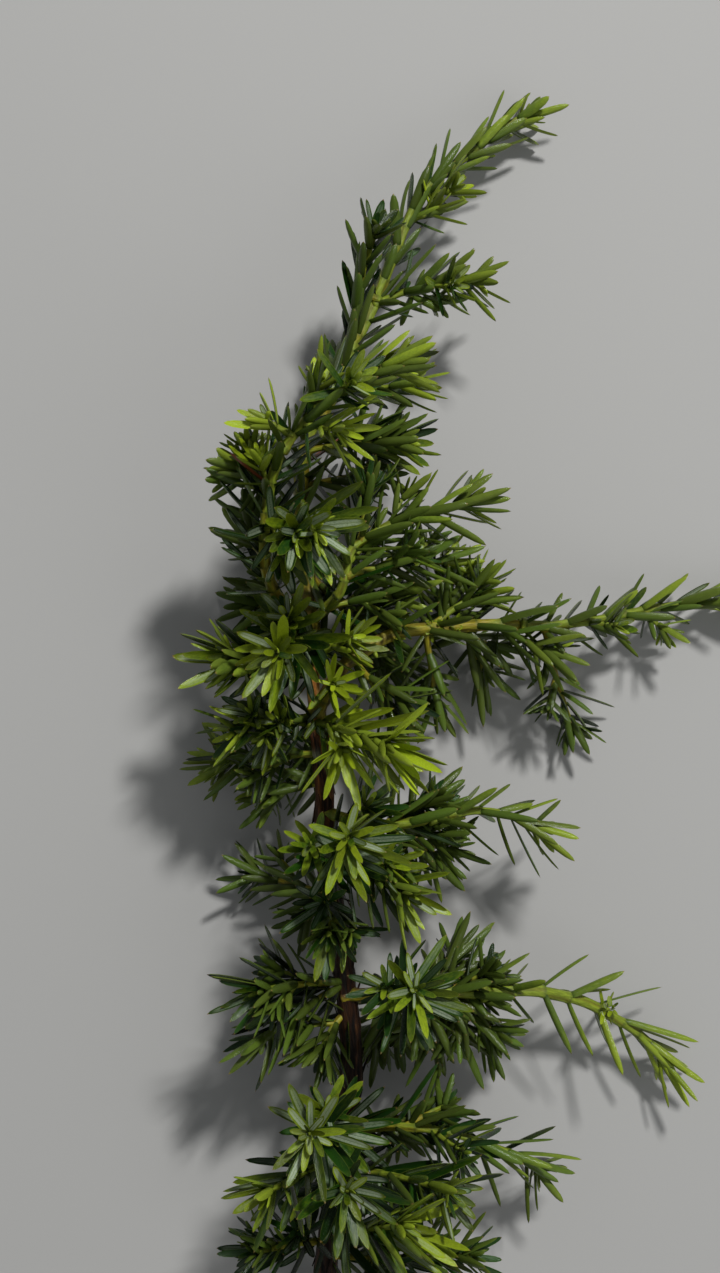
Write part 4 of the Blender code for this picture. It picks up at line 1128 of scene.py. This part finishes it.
class Finish:
    # a material; each method adds a node and gives its output

    def __init__(self, name, specular=None):
        self.material = bpy.data.materials.new(name)
        self.material.use_nodes = True
        self.tree = self.material.node_tree
        self.shader = self.tree.nodes["Principled BSDF"]
        self.shader.inputs["Metallic"].default_value = 0
        if specular is not None:
            self.shader.inputs["Specular IOR Level"].default_value = specular

    def read(self, name, output="Fac"):
        return addNode(self.tree, "ShaderNodeAttribute", attribute_name=name).outputs[output]

    def split(self, vector):
        return addNode(self.tree, "ShaderNodeSeparateXYZ", {0: vector}).outputs

    def place(self):
        return addNode(self.tree, "ShaderNodeTexCoord").outputs["Object"]

    def calculate(self, operation, *values):
        return calculate(self.tree, operation, *values)

    def times(self, value, *factors):
        for factor in factors:
            value = self.calculate("MULTIPLY", value, factor)
        return value

    def plus(self, a, b):
        return self.calculate("ADD", a, b)

    def minus(self, a, b):
        return self.calculate("SUBTRACT", a, b)

    def ramp(self, value, *limits, smooth=True):
        return spread(self.tree, value, *limits, smooth=smooth)

    def fibres(self, place, across, along, shift=0.0):
        inputs = {"Place": place, "Across": across, "Along": along, "Shift": shift}
        node = addNode(self.tree, "ShaderNodeGroup", inputs, node_tree=fibreGroup)
        return node.outputs["Lines"], node.outputs["Patches"]

    def blend(self, factor, under, over):
        inputs = {0: factor, 6: withAlpha(under), 7: withAlpha(over)}
        return addNode(self.tree, "ShaderNodeMix", inputs, data_type="RGBA", blend_type="MIX").outputs[2]

    def shaded(self, tint, factor):
        inputs = {0: tint, "Scale": factor}
        return addNode(self.tree, "ShaderNodeVectorMath", inputs, operation="SCALE").outputs[0]

    def setLooks(self, tint, roughness, height, relief):
        # relief is the strength of the bumps and their depth
        inputs = {"Height": height, "Strength": relief[0], "Distance": relief[1] * mm}
        bump = addNode(self.tree, "ShaderNodeBump", inputs).outputs[0]
        feed(self.tree, self.shader, {"Base Color": tint, "Roughness": roughness, "Normal": bump})
        return self.material


needleLook = {
    "old": (0.0025, 0.0135, 0.0014),  # the greens of three ages
    "middle": (0.0115, 0.044, 0.0032),
    "young": (0.205, 0.27, 0.009),
    "bloom": (0.34, 0.41, 0.28),  # the pale bands on the upper face: the real bloom, partly standing in for highlights as painted sheen
    # margin: a painted highlight along the blade's edges
    "margin": (0.32, 0.42, 0.06),
    # foot: the needle's own darker base, with painted shade in the crease where it meets the twig
    "foot": (0.026, 0.052, 0.005),
    "point": (0.30, 0.17, 0.06),
    "dry": (0.17, 0.045, 0.014),  # the few that have died
    "tones": (0.36, 1.36),  # darkest and lightest needle
    "roughness": (0.13, 0.23),  # between the fibres and on them
    "bloomRoughness": 0.3,  # added on the pale band
    "specular": 0.25,
    "relief": (0.35, 0.06),  # strength and depth of the fibres
}


def makeNeedleFinish():
    # v runs from foot to point; u runs round: the upper face is 0 to 0.5, the keel 0.75
    finish = Finish("juniper needle", needleLook["specular"])
    times, ramp, blend = finish.times, finish.ramp, finish.blend
    uv = addNode(finish.tree, "ShaderNodeUVMap", uv_map="needleUv").outputs[0]
    parts = finish.split(uv)
    u, v = parts[0], parts[1]
    youth, tone, bloom, dry = (finish.read(name) for name in ("youth", "tone", "bloom", "dry"))
    lines, patches = finish.fibres(uv, 26.0, 26.0, times(tone, 37.0))
    # how far off the midrib and off the keel: 1 at the margins
    off, keelOff = (
        times(finish.calculate("ABSOLUTE", finish.minus(u, middle)), 4.0) for middle in (0.25, 0.75)
    )
    midrib = times(ramp(off, 0.03, 0.12, 1.0, 0.0), 0.55)
    # the pale band: real bloom on the upper face, also painted sheen
    band = times(
        ramp(off, 0.48, 0.68, 1.0, 0.0), ramp(v, 0.05, 0.16), ramp(v, 0.80, 0.95, 1.0, 0.0),
        finish.calculate("LESS_THAN", u, 0.5), bloom, finish.minus(1.0, midrib),
        ramp(lines, 0.0, 1.0, 0.65, 1.0),
    )
    ripe = finish.plus(youth, times(finish.minus(v, 0.5), 0.22))  # younger towards the point
    ripe = finish.plus(ripe, times(finish.minus(patches, 0.5), 0.09))
    green = blend(ramp(ripe, 0.0, 0.5), needleLook["old"], needleLook["middle"])
    green = blend(ramp(ripe, 0.60, 1.14), green, needleLook["young"])
    # tone and fibres vary at random; the keel is made lighter, a painted highlight along the ridge, and
    # needles whose youth goes past 1 are made up to 1.4 times brighter, painted sunlight on the brightest
    # shoots
    shade = times(
        ramp(tone, 0.0, 1.0, *needleLook["tones"], smooth=False), ramp(lines, 0.0, 1.0, 0.86, 1.1),
        ramp(keelOff, 0.0, 0.25, 1.18, 1.0), ramp(ripe, 1.0, 1.35, 1.0, 1.4),
    )
    green = finish.shaded(green, shade)
    for amount, key in (
        # the pale margins are a painted highlight along the edges
        (times(ramp(off, 0.86, 0.98), 0.28, ramp(ripe, 0.1, 0.9, 0.55, 1.0)), "margin"),
        # the pale band is real bloom and painted sheen
        (times(band, 0.85), "bloom"),
        # dark at the foot: partly the needle's own base, partly painted shade where it meets the twig
        (ramp(v, 0.0, 0.09, 0.75, 0.0), "foot"),
        (ramp(v, 0.95, 1.0, 0.0, 0.7), "point"),
        (dry, "dry"),
    ):
        green = blend(amount, green, needleLook[key])
    gloss = ramp(lines, 0.0, 1.0, *needleLook["roughness"])
    gloss = finish.plus(gloss, times(band, needleLook["bloomRoughness"]))
    return finish.setLooks(green, gloss, lines, needleLook["relief"])


twigLook = {
    "green": (0.20, 0.26, 0.020),
    "straw": (0.28, 0.23, 0.015),
    "brown": (0.10, 0.056, 0.017),
    "groove": (0.13, 0.11, 0.012),  # between the ridges: painted shade in the grooves
    "node": (0.06, 0.085, 0.016),  # under each whorl: darker needle bases, with painted shade under the needles
    "roughness": (0.55, 0.36),
    "specular": 0.22,
    "relief": (0.6, 0.12),
}


def makeTwigFinish():
    finish = Finish("young juniper bark", twigLook["specular"])
    times, ramp, blend = finish.times, finish.ramp, finish.blend
    youth, groove, ring = (finish.read(name) for name in ("youth", "groove", "ring"))
    lines, patches = finish.fibres(finish.read("barkAt", "Vector"), 2.6, 0.55)
    ripe = finish.plus(youth, times(finish.minus(patches, 0.5), 0.3))
    bark = blend(ramp(ripe, 0.0, 0.3), twigLook["brown"], twigLook["straw"])
    bark = blend(ramp(ripe, 0.28, 0.62), bark, twigLook["green"])
    # painted shade darkens the grooves between the ridges
    bark = blend(times(ramp(groove, -0.1, -0.9), 0.55), bark, twigLook["groove"])
    # the band under each whorl: darker needle bases and painted shade
    bark = blend(times(ring, 0.6), bark, twigLook["node"])
    bark = finish.shaded(bark, ramp(lines, 0.0, 1.0, 0.68, 1.18, smooth=False))
    gloss = ramp(lines, 0.0, 1.0, *twigLook["roughness"])
    return finish.setLooks(bark, gloss, lines, twigLook["relief"])


barkLook = {
    "dark": (0.013, 0.006, 0.003),  # in the furrows: painted shade
    "red": (0.10, 0.033, 0.009),
    "orange": (0.42, 0.16, 0.034),  # freshly peeled, and a painted highlight on the strips that stand out
    "grey": (0.07, 0.048, 0.033),  # weathered
    "young": (0.30, 0.24, 0.04),  # above the torn edge
    "ring": (0.42, 0.44, 0.28),  # the pale band
    "peeledAndHighlit": 0.85,  # how much of the orange shows on strips that stand out, as peeled bark and painted highlight
    "roughness": (0.72, 0.42),
    "specular": 0.2,
    "relief": (0.8, 0.2),
    "darkFrom": 0.005, "darkTo": -0.045, "darkest": 0.18,  # painted shade, darker towards the cut end, in metres
}


def makeBarkFinish():
    finish = Finish("old juniper bark", barkLook["specular"])
    times, ramp, blend = finish.times, finish.ramp, finish.blend
    place = finish.read("barkAt", "Vector")
    relief, tone, young, ring = (finish.read(name) for name in ("relief", "tone", "youth", "ring"))
    lines, patches = finish.fibres(place, 1.9, 0.22, times(tone, 23.0))
    fine, broad = finish.fibres(place, 5.5, 0.7, times(tone, 11.0))
    # painted shade and highlight follow the relief: dark in the furrows, red on the strips, orange where
    # they stand out most
    lit = finish.plus(times(lines, 0.55), times(relief, 0.45))
    bark = blend(ramp(lit, 0.22, 0.52), barkLook["dark"], barkLook["red"])
    peeledAndHighlit = times(ramp(lit, 0.5, 0.8), ramp(patches, 0.35, 0.75, 0.15, barkLook["peeledAndHighlit"]))
    bark = blend(peeledAndHighlit, bark, barkLook["orange"])
    bark = blend(young, bark, blend(patches, barkLook["young"], barkLook["orange"]))
    bark = blend(times(ring, ramp(lines, 0.0, 1.0, 0.5, 1.0)), bark, barkLook["ring"])
    bark = blend(times(ramp(broad, 0.62, 0.95), 0.35), bark, barkLook["grey"])
    along = finish.split(finish.place())[1]
    shade = ramp(fine, 0.0, 1.0, 0.7, 1.2, smooth=False)
    # painted shade: the bark darkens towards the cut end
    shade = times(shade, ramp(along, barkLook["darkTo"], barkLook["darkFrom"], barkLook["darkest"], 1.0))
    bark = finish.shaded(bark, shade)
    height = finish.plus(times(lines, 0.6), times(fine, 0.4))
    gloss = ramp(lines, 0.0, 1.0, *barkLook["roughness"])
    return finish.setLooks(bark, gloss, height, barkLook["relief"])


cutLook = {
    "pale": (0.62, 0.47, 0.27),
    "ring": (0.44, 0.29, 0.14),
    "pith": (0.20, 0.11, 0.05),
    "bark": (0.16, 0.07, 0.035),
    "rings": 44.0,  # radians from pith to bark
    "roughness": 0.7,
    "relief": (0.3, 0.05),
}


def makeCutFinish():
    finish = Finish("cut juniper wood")
    ramp, blend = finish.ramp, finish.blend
    out = finish.read("outward")  # 0 at the pith, 1 at the bark
    wobble = finish.times(noiseAt(finish.tree, finish.place(), 900.0, 2.0), 0.12)
    rings = finish.calculate("SINE", finish.times(finish.plus(out, wobble), cutLook["rings"]))
    tint = blend(ramp(rings, -0.6, 1.0), cutLook["pale"], cutLook["ring"])
    tint = blend(ramp(out, 0.16, 0.08), tint, cutLook["pith"])
    tint = blend(ramp(out, 0.84, 0.90), tint, cutLook["bark"])
    return finish.setLooks(tint, cutLook["roughness"], rings, cutLook["relief"])


needleFinish = makeNeedleFinish()
twigFinish = makeTwigFinish()
barkFinish = makeBarkFinish()
cutFinish = makeCutFinish()
print("finishes made")


def linkObject(name, data):
    made = bpy.data.objects.new(name, data)
    bpy.context.scene.collection.objects.link(made)
    return made


def setAttribute(mesh, name, kind, values):
    attribute = mesh.attributes.new(name, kind, "POINT")
    key = "vector" if kind == "FLOAT_VECTOR" else "value"
    attribute.data.foreach_set(key, np.array(values, np.float32).ravel())


def growOnSeats(name, seats, shape, width, finish, seed):
    mesh = bpy.data.meshes.new(name)
    mesh.from_pydata([seat["foot"] * mm for seat in seats], [], [])
    for key, unit in (("way", 1), ("face", 1), ("bow", mm)):
        setAttribute(mesh, key, "FLOAT_VECTOR", [seat[key] * unit for seat in seats])
    setAttribute(mesh, "size", "FLOAT", [seat["length"] * mm for seat in seats])
    for key in ("slim", "youth", "bloom", "tone", "dry"):
        setAttribute(mesh, key, "FLOAT", [seat[key] for seat in seats])
    piece = linkObject(name, mesh)
    grower = piece.modifiers.new("grow", "NODES")
    grower.node_group = seatGrower
    values = {
        "shape": shape, "width": width * mm, "lengthSpread": 0.03, "curl": 1.0, "seed": seed,
        "finish": finish,
    }
    for key, value in values.items():
        grower[seatKeys[key]] = value
    evaluated = piece.evaluated_get(bpy.context.evaluated_depsgraph_get())
    mesh = bpy.data.meshes.new_from_object(evaluated)
    piece.modifiers.clear()
    piece.data = mesh
    for attribute in ("way", "face", "bow", "size", "slim", "share"):
        if attribute in mesh.attributes:
            mesh.attributes.remove(mesh.attributes[attribute])
    return piece


def ringFaces(rings, sides):
    # faces between rings of corners that go round clockwise, seen from the far end
    faces = []
    for r in range(rings - 1):
        for i in range(sides):
            low, j = r * sides, (i + 1) % sides
            faces.append((low + i, low + sides + i, low + sides + j, low + j))
    return faces


def makeShape(name, verts, faces):
    mesh = bpy.data.meshes.new(name)
    mesh.from_pydata(verts, [], faces)
    setAttribute(mesh, "share", "FLOAT", [vert[2] for vert in verts])
    mesh.shade_smooth()
    return linkObject(name, mesh)


needleShape = {
    "stations": (0, 0.05, 0.17, 0.38, 0.62, 0.81, 0.93),  # share of the length
    "halfWidths": (0.38, 0.43, 0.48, 0.50, 0.495, 0.42, 0.25),  # share of the width
    "width": 1.42,
    "keel": 0.30,  # depth under the margins, as a share of the width
    "hollow": 0.10,  # depth of the channel in the upper face
    "seed": 500,  # of the first piece; each piece has the next one
}


def makeNeedleShape():
    # one needle, a unit long and wide: concave above, keeled below, with a sharp point
    across = [(-1, 0), (-0.5, 0.6), (0, 1), (0.5, 0.6), (1, 0), (0.62, -0.68), (0, -1), (-0.62, -0.68)]
    sides = len(across)
    margins = (0, 4)  # corners at the two edges of the blade
    stations = needleShape["stations"]
    keel = needleShape["keel"]
    verts = []
    for station, half in zip(stations, needleShape["halfWidths"]):
        for x, y in across:
            depth = needleShape["hollow"] * half * 2 * -y if y > 0 else keel * (0.35 + 1.3 * half) * y
            verts.append((x * half, depth, station))
    tip = len(verts)
    top = tip - sides
    verts.append((0, -keel * 0.25, 1))
    faces = ringFaces(len(stations), sides)
    uvs = []
    for low, high in zip(stations, stations[1:]):
        for i in range(sides):
            left, right = i / sides, (i + 1) / sides
            uvs += [(left, low), (left, high), (right, high), (right, low)]
    for i in range(sides):
        faces.append((top + i, tip, top + (i + 1) % sides))
        uvs += [(i / sides, stations[-1]), ((i + 0.5) / sides, 1), ((i + 1) / sides, stations[-1])]
    faces.append(tuple(range(sides)))
    uvs += [(i / sides, 0) for i in range(sides)]
    shape = makeShape("needle shape", verts, faces)
    mesh = shape.data
    mesh.uv_layers.new(name="needleUv").data.foreach_set("uv", np.array(uvs, np.float32).ravel())
    sharp = mesh.attributes.new("sharp_edge", "BOOLEAN", "EDGE")
    for edge in mesh.edges:
        a, b = sorted(edge.vertices)
        margin = a % sides in margins and b in (a + sides, tip)
        sharp.data[edge.index].value = margin or b < sides
    return shape


def tubeSurface(axis, stations, sides, radiusAt):
    # rings of corners along an axis; radiusAt takes the station and the corner angles
    angles = np.arange(sides) * fullTurn / sides
    rings = []
    places = []
    for station in stations:
        point, ahead, side, up = axis.at(station)
        radii = radiusAt(station, angles)
        x, y = np.cos(angles), np.sin(angles)
        rings.append(point + (np.outer(x, side) + np.outer(y, up)) * radii[:, None])
        places.append(np.stack([x * radii, y * radii, np.full(sides, station)], axis=1))
    return np.array(rings), np.array(places)


class MeshParts:
    # gathers tubes and caps into one mesh, with values on its corners

    def __init__(self, *keys):
        self.verts = []
        self.faces = []
        self.slots = []
        self.places = []
        self.values = {key: [] for key in keys}

    def addCorners(self, corners, places, values):
        # values left out are 0
        start = len(self.verts)
        self.verts.extend(corners.reshape(-1, 3) * mm)
        self.places.extend(places.reshape(-1, 3))
        for key, kept in self.values.items():
            kept.extend(np.broadcast_to(values.get(key, 0.0), corners.shape[:-1]).ravel())
        return list(range(start, len(self.verts)))

    def addFace(self, corners, slot=0):
        self.faces.append(tuple(corners))
        self.slots.append(slot)

    def joinLoops(self, low, high, slot=0):
        for i in range(len(low)):
            j = (i + 1) % len(low)
            self.addFace((low[i], high[i], high[j], low[j]), slot)

    def addTube(self, rings, places, values, closedStart=True):
        corners = self.addCorners(rings, places, values)
        sides = rings.shape[1]
        loops = [corners[i:i + sides] for i in range(0, len(corners), sides)]
        for low, high in zip(loops, loops[1:]):
            self.joinLoops(low, high)
        if closedStart:
            self.addFace(loops[0])
        self.addFace(reversed(loops[-1]))
        return loops[0]

    def build(self, name, *finishes):
        mesh = bpy.data.meshes.new(name)
        mesh.from_pydata([tuple(vert) for vert in self.verts], [], self.faces)
        setAttribute(mesh, "barkAt", "FLOAT_VECTOR", self.places)
        for key, values in self.values.items():
            setAttribute(mesh, key, "FLOAT", values)
        for finish in finishes:
            mesh.materials.append(finish)
        mesh.polygons.foreach_set("material_index", self.slots)
        mesh.shade_smooth()
        mesh.update()
        return linkObject(name, mesh)


def bell(distance, width):
    return np.exp(-((distance / width) ** 2))


youngBark = {
    "ridges": 0.10,  # height of the three ridges under each whorl, as a share of the radius
    "ridgeFade": 0.5,  # length over which they turn into the next three
    "swelling": 0.13, "swellingWidth": 0.45,  # at each whorl
    "flare": 0.55, "flareWidth": 1.1,  # at the foot
    "ringWidth": 0.28,
    "rounding": 1.5, "blunt": 0.02,  # length of the rounded end, and what is left at its tip
    "thickFrom": 0.7,  # radius from which a twig gets the finer mesh
    "fine": (18, 0.3), "coarse": (9, 0.45),  # sides and step
}


def leafyBark(meshParts, axis, whorls, youth, last):
    sides, step = youngBark["fine" if axis.radii[0] > youngBark["thickFrom"] else "coarse"]
    stations = np.linspace(0, last, max(3, int(last / step) + 1))
    marks = np.array([whorl[0] for whorl in whorls] or [1e9])
    turns = np.array([whorl[1] for whorl in whorls] or [0.0])

    def offMark(station):
        return np.abs(marks - station).min()

    def ridgeAt(station, angles):
        above = min(int(np.searchsorted(marks, station)), len(marks) - 1)
        own = np.cos(3 * (angles - turns[above]))
        if above > 0:
            fade = clamp((station - marks[above - 1]) / youngBark["ridgeFade"])
            own = own * fade + np.cos(3 * (angles - turns[above - 1])) * (1 - fade)
        return own

    def radiusAt(station, angles):
        swelling = youngBark["swelling"] * bell(offMark(station), youngBark["swellingWidth"])
        flare = youngBark["flare"] * bell(station, youngBark["flareWidth"])
        past = max(0, station - last + youngBark["rounding"]) / youngBark["rounding"]
        narrow = math.sqrt(max(youngBark["blunt"], 1 - past**2))
        relief = youngBark["ridges"] * ridgeAt(station, angles)
        return axis.radius(station) * narrow * (1 + swelling + flare + relief)

    rings, places = tubeSurface(axis, stations, sides, radiusAt)
    angles = np.arange(sides) * fullTurn / sides
    meshParts.addTube(rings, places, {
        "youth": np.array([[between(youth, clamp(station / axis.length))] for station in stations]),
        "groove": np.array([ridgeAt(station, angles) for station in stations]),
        "ring": np.array([[bell(offMark(station), youngBark["ringWidth"])] for station in stations]),
    })


def makeTwigs(name, parts):
    meshParts = MeshParts("youth", "groove", "ring")
    for part in parts:
        leafyBark(meshParts, **part)
    return meshParts.build(name, twigFinish)


mainBark = {
    "sides": 40, "step": 0.35,
    "strips": 0.16,  # relief of the peeling strips, as a share of the radius
    "stripLength": 0.11, "stripWidth": 2.6,
    "swelling": 0.10, "swellingShare": 0.12,
    "rim": 118.5,  # where the old bark ends in a torn edge
    "rimRagged": 0.9, "rimWidth": 0.3,
    "lip": 0.16, "lipWidth": 0.6,
    "thinner": 0.74,  # the stem above the torn edge
    "ring": 114.6, "ringWidth": 0.9,  # pale band, part of the way round
    "ringSide": 2.6, "ringRound": 1.6,
    "cutLoops": (0.93, 0.86, 0.6, 0.34, 0.12),  # loops of the cut end, as shares of its radius
    "cutWaves": 0.03,  # height of the ripples between them
    "pith": 0.2, "pithDepth": 0.12,  # its radius is a share too
}

flakes = {  # loose strips of bark on the main stem
    "seed": 41, "count": 90,
    "first": 3.0, "last": 117.0, "offEven": 0.6,
    "length": (2.2, 6.5),
    "width": 0.62, "widths": (0.5, 1.7),
    "upwards": 0.55,  # share of them that point up the stem
    "lift": (2, 16),  # degrees away from the stem
    "askew": 9,
    "curl": 0.16, "curls": (-0.3, 1),
    "seat": 0.97,  # share of the radius
}


def makeMainStem():
    axis = axes["main_stem"]
    stations = np.arange(0, axis.length + tiny, mainBark["step"])
    sides = mainBark["sides"]

    def reliefAt(station, angles):
        # broad humps, strips with steep edges, and fine fibres
        found = []
        z = station * mainBark["stripLength"]
        for angle in angles:
            x, y = math.cos(angle) * mainBark["stripWidth"], math.sin(angle) * mainBark["stripWidth"]
            broad = noise.noise((x * 0.55, y * 0.55, z * 0.6))
            strips = noise.noise((x, y, z + 7))
            fine = noise.noise((x * 2.3, y * 2.3, z * 2.6 + 31))
            plates = math.copysign(min(1, abs(strips) * 3) ** 0.5, strips)
            found.append(0.5 + 0.28 * plates + 0.22 * broad + 0.2 * fine)
        return np.array(found)

    def tornAt(station, angles):
        # 0 under the torn edge, 1 above it
        edge = [noise.noise((math.cos(angle) * 2.1, math.sin(angle) * 2.1, 5)) for angle in angles]
        past = station - mainBark["rim"] - mainBark["rimRagged"] * np.array(edge)
        return np.clip(past / mainBark["rimWidth"], 0, 1)

    def ringAt(station, angles):
        around = np.clip(np.cos(angles - mainBark["ringSide"]) * mainBark["ringRound"], 0, 1)
        return around * bell(station - mainBark["ring"], mainBark["ringWidth"])

    def radiusAt(station, angles):
        node = (station / stems["main_stem"]["nodes"]) % 1
        swelling = mainBark["swelling"] * bell(node - 0.5, mainBark["swellingShare"])
        torn = tornAt(station, angles)
        lip = mainBark["lip"] * bell(station - mainBark["rim"] + 0.5, mainBark["lipWidth"]) * (1 - torn)
        strips = mainBark["strips"] * (reliefAt(station, angles) - 0.5) * (1 - 0.6 * torn)
        return axis.radius(station) * (1 + (mainBark["thinner"] - 1) * torn) * (1 + swelling + lip + strips)

    rings, places = tubeSurface(axis, stations, sides, radiusAt)
    angles = np.arange(sides) * fullTurn / sides
    meshParts = MeshParts("relief", "tone", "youth", "ring", "outward")
    marks = {
        key: np.array([valueAt(station, angles) for station in stations])
        for key, valueAt in (("relief", reliefAt), ("youth", tornAt), ("ring", ringAt))
    }
    loop = meshParts.addTube(rings, places, {**marks, "tone": 0.3}, closedStart=False)
    # the cut end: rings of wood inside the bark, a little hollow at the pith
    middle, ahead, _, _ = axis.at(0)
    for share in mainBark["cutLoops"]:
        depth = mainBark["cutWaves"] * math.sin(9 * share)
        if share < mainBark["pith"]:
            depth = mainBark["pithDepth"]
        corners = middle + (rings[0] - middle) * share + ahead * depth
        fresh = meshParts.addCorners(corners, places[0] * share, {"relief": 0.5, "outward": share})
        meshParts.joinLoops(fresh, loop, 1)
        loop = fresh
    meshParts.addFace(loop, 1)
    return meshParts.build("main_stem_bark", barkFinish, cutFinish)


def makeFlakeShape():
    # a thin strip, a unit long and wide, a little hollow and narrowing to a ragged end:
    # station, half width, and how far it sways aside
    rings = ((0, 0.50, 0), (0.22, 0.47, 0.02), (0.48, 0.40, 0.07), (0.74, 0.30, 0.03), (1.0, 0.10, 0.10))
    around = ((-1, -0.16), (0, 0.0), (1, -0.16), (1, -0.26), (0, -0.12), (-1, -0.26))
    sides = len(around)
    verts = [(x * half + aside, depth, station) for station, half, aside in rings for x, depth in around]
    caps = [tuple(range(sides)), tuple(range(len(verts) - 1, len(verts) - sides - 1, -1))]
    shape = makeShape("flake shape", verts, ringFaces(len(rings), sides) + caps)
    setAttribute(shape.data, "barkAt", "FLOAT_VECTOR", [(x * 0.8, y, z * 5) for x, y, z in verts])
    outer, inner = 0.75, 0.25  # relief of the faces away from the stem and towards it; the bark finish paints the inner faces darker, as painted shade
    relief = [outer if i % sides < sides / 2 else inner for i in range(len(verts))]
    setAttribute(shape.data, "relief", "FLOAT", relief)
    return shape


def makeFlakes():
    chance = np.random.default_rng(flakes["seed"])
    axis = axes["main_stem"]
    seats = []
    for station in np.linspace(flakes["first"], flakes["last"], flakes["count"]):
        place = station + chance.uniform(-flakes["offEven"], flakes["offEven"])
        point, ahead, outward = axis.outward(place, chance.uniform(0, fullTurn))
        along = ahead if chance.uniform(0, 1) < flakes["upwards"] else -ahead
        lift = math.radians(chance.uniform(*flakes["lift"]))
        askew = math.radians(chance.normal(0, flakes["askew"]))
        along = math.cos(askew) * along + math.sin(askew) * np.cross(outward, along)
        length = chance.uniform(*flakes["length"])
        seats.append({
            "foot": point + outward * axis.radius(station) * flakes["seat"],
            "way": math.cos(lift) * along + math.sin(lift) * outward,
            "face": math.cos(lift) * outward - math.sin(lift) * along,
            "length": length,
            "bow": outward * flakes["curl"] * length * chance.uniform(*flakes["curls"]),
            "slim": chance.uniform(*flakes["widths"]),
            "youth": 0.0, "bloom": 0.0, "tone": chance.uniform(0, 1), "dry": 0.0,
        })
    shape = makeFlakeShape()
    piece = growOnSeats("main_stem_flakes", seats, shape, flakes["width"], barkFinish, flakes["seed"])
    bpy.data.objects.remove(shape)
    return piece


slotOf = {part["node"]: part["material_slot"] for part in frame["record"]["subparts"]}
pieces = []


def finishPiece(piece, slotName, *nodes):
    if nodes:
        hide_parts(*nodes)
    pieces.append(piece)


finishPiece(makeMainStem(), slotOf["main_stem"], "main_stem")
finishPiece(makeFlakes(), slotOf["main_stem"])
for name, stem in stems.items():
    if name != "main_stem":
        axis = axes[name]
        part = {"axis": axis, "whorls": stemWhorls[name], "youth": stem["youth"], "last": axis.length + 0.3}
        finishPiece(makeTwigs(name + "_bark", [part]), slotOf[name], name)
print("stems made")

needleObject = makeNeedleShape()
byPiece = {}
for needle in needles:
    byPiece.setdefault(needle["piece"], []).append(needle)
for seed, (name, own) in enumerate(byPiece.items(), needleShape["seed"]):
    piece = growOnSeats(name + "_needles", own, needleObject, needleShape["width"], needleFinish, seed)
    if name in twigs:
        finishPiece(piece, slotOf[name], name)
        finishPiece(makeTwigs(name + "_twig", twigs[name]), "bark_young")
    else:
        finishPiece(piece, "needles_old")
bpy.data.objects.remove(needleObject)
print("needles made on", len(byPiece), "pieces")

for piece in pieces:
    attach(piece, "root")

# Floor, light and camera, in metres and watts, with the lens and sensor in millimetres
studio = {
    "floor": (0.42, 0.415, 0.40), "floorRoughness": 0.9, "floorHalf": 20.0,
    "lights": {  # place, diameter and power
        "key light": ((0.36, 0.73, 0.95), 0.14, 13.4),
        "fill light": ((0.6, -0.5, 0.8), 0.8, 1.5),
    },
    "lightsAimAt": (-0.02, 0.0, 0.015),
    "sky": (0.92, 0.96, 1.0), "skyPower": 0.215,
    "cameraPlace": (-0.0215, 0.017, 0.32), "lens": 50, "sensor": 36,
}

half = studio["floorHalf"]
floorMesh = bpy.data.meshes.new("floor")
corners = [(-half, -half, 0), (half, -half, 0), (half, half, 0), (-half, half, 0)]
floorMesh.from_pydata(corners, [], [(0, 1, 2, 3)])
floorFinish = Finish("pale floor")
floorFinish.shader.inputs["Base Color"].default_value = withAlpha(studio["floor"])
floorFinish.shader.inputs["Roughness"].default_value = studio["floorRoughness"]
floorMesh.materials.append(floorFinish.material)
floor = linkObject("floor", floorMesh)

for name, (place, size, power) in studio["lights"].items():
    light = bpy.data.lights.new(name, "AREA")
    light.shape = "DISK"
    light.size = size
    light.energy = power
    lamp = linkObject(name, light)
    lamp.location = place
    aim = np.array(studio["lightsAimAt"]) - place
    lamp.rotation_euler = Vector(aim).to_track_quat("-Z", "Y").to_euler()

scene = bpy.context.scene
scene.world = bpy.data.worlds.new("studio")
scene.world.use_nodes = True
background = scene.world.node_tree.nodes["Background"]
background.inputs[0].default_value = withAlpha(studio["sky"])
background.inputs[1].default_value = studio["skyPower"]
scene.view_settings.view_transform = "Standard"

camera = linkObject("camera", bpy.data.cameras.new("camera"))
camera.data.lens = studio["lens"]
camera.data.sensor_width = studio["sensor"]
camera.data.clip_start = 0.01
camera.location = studio["cameraPlace"]
scene.camera = camera
print("studio set")
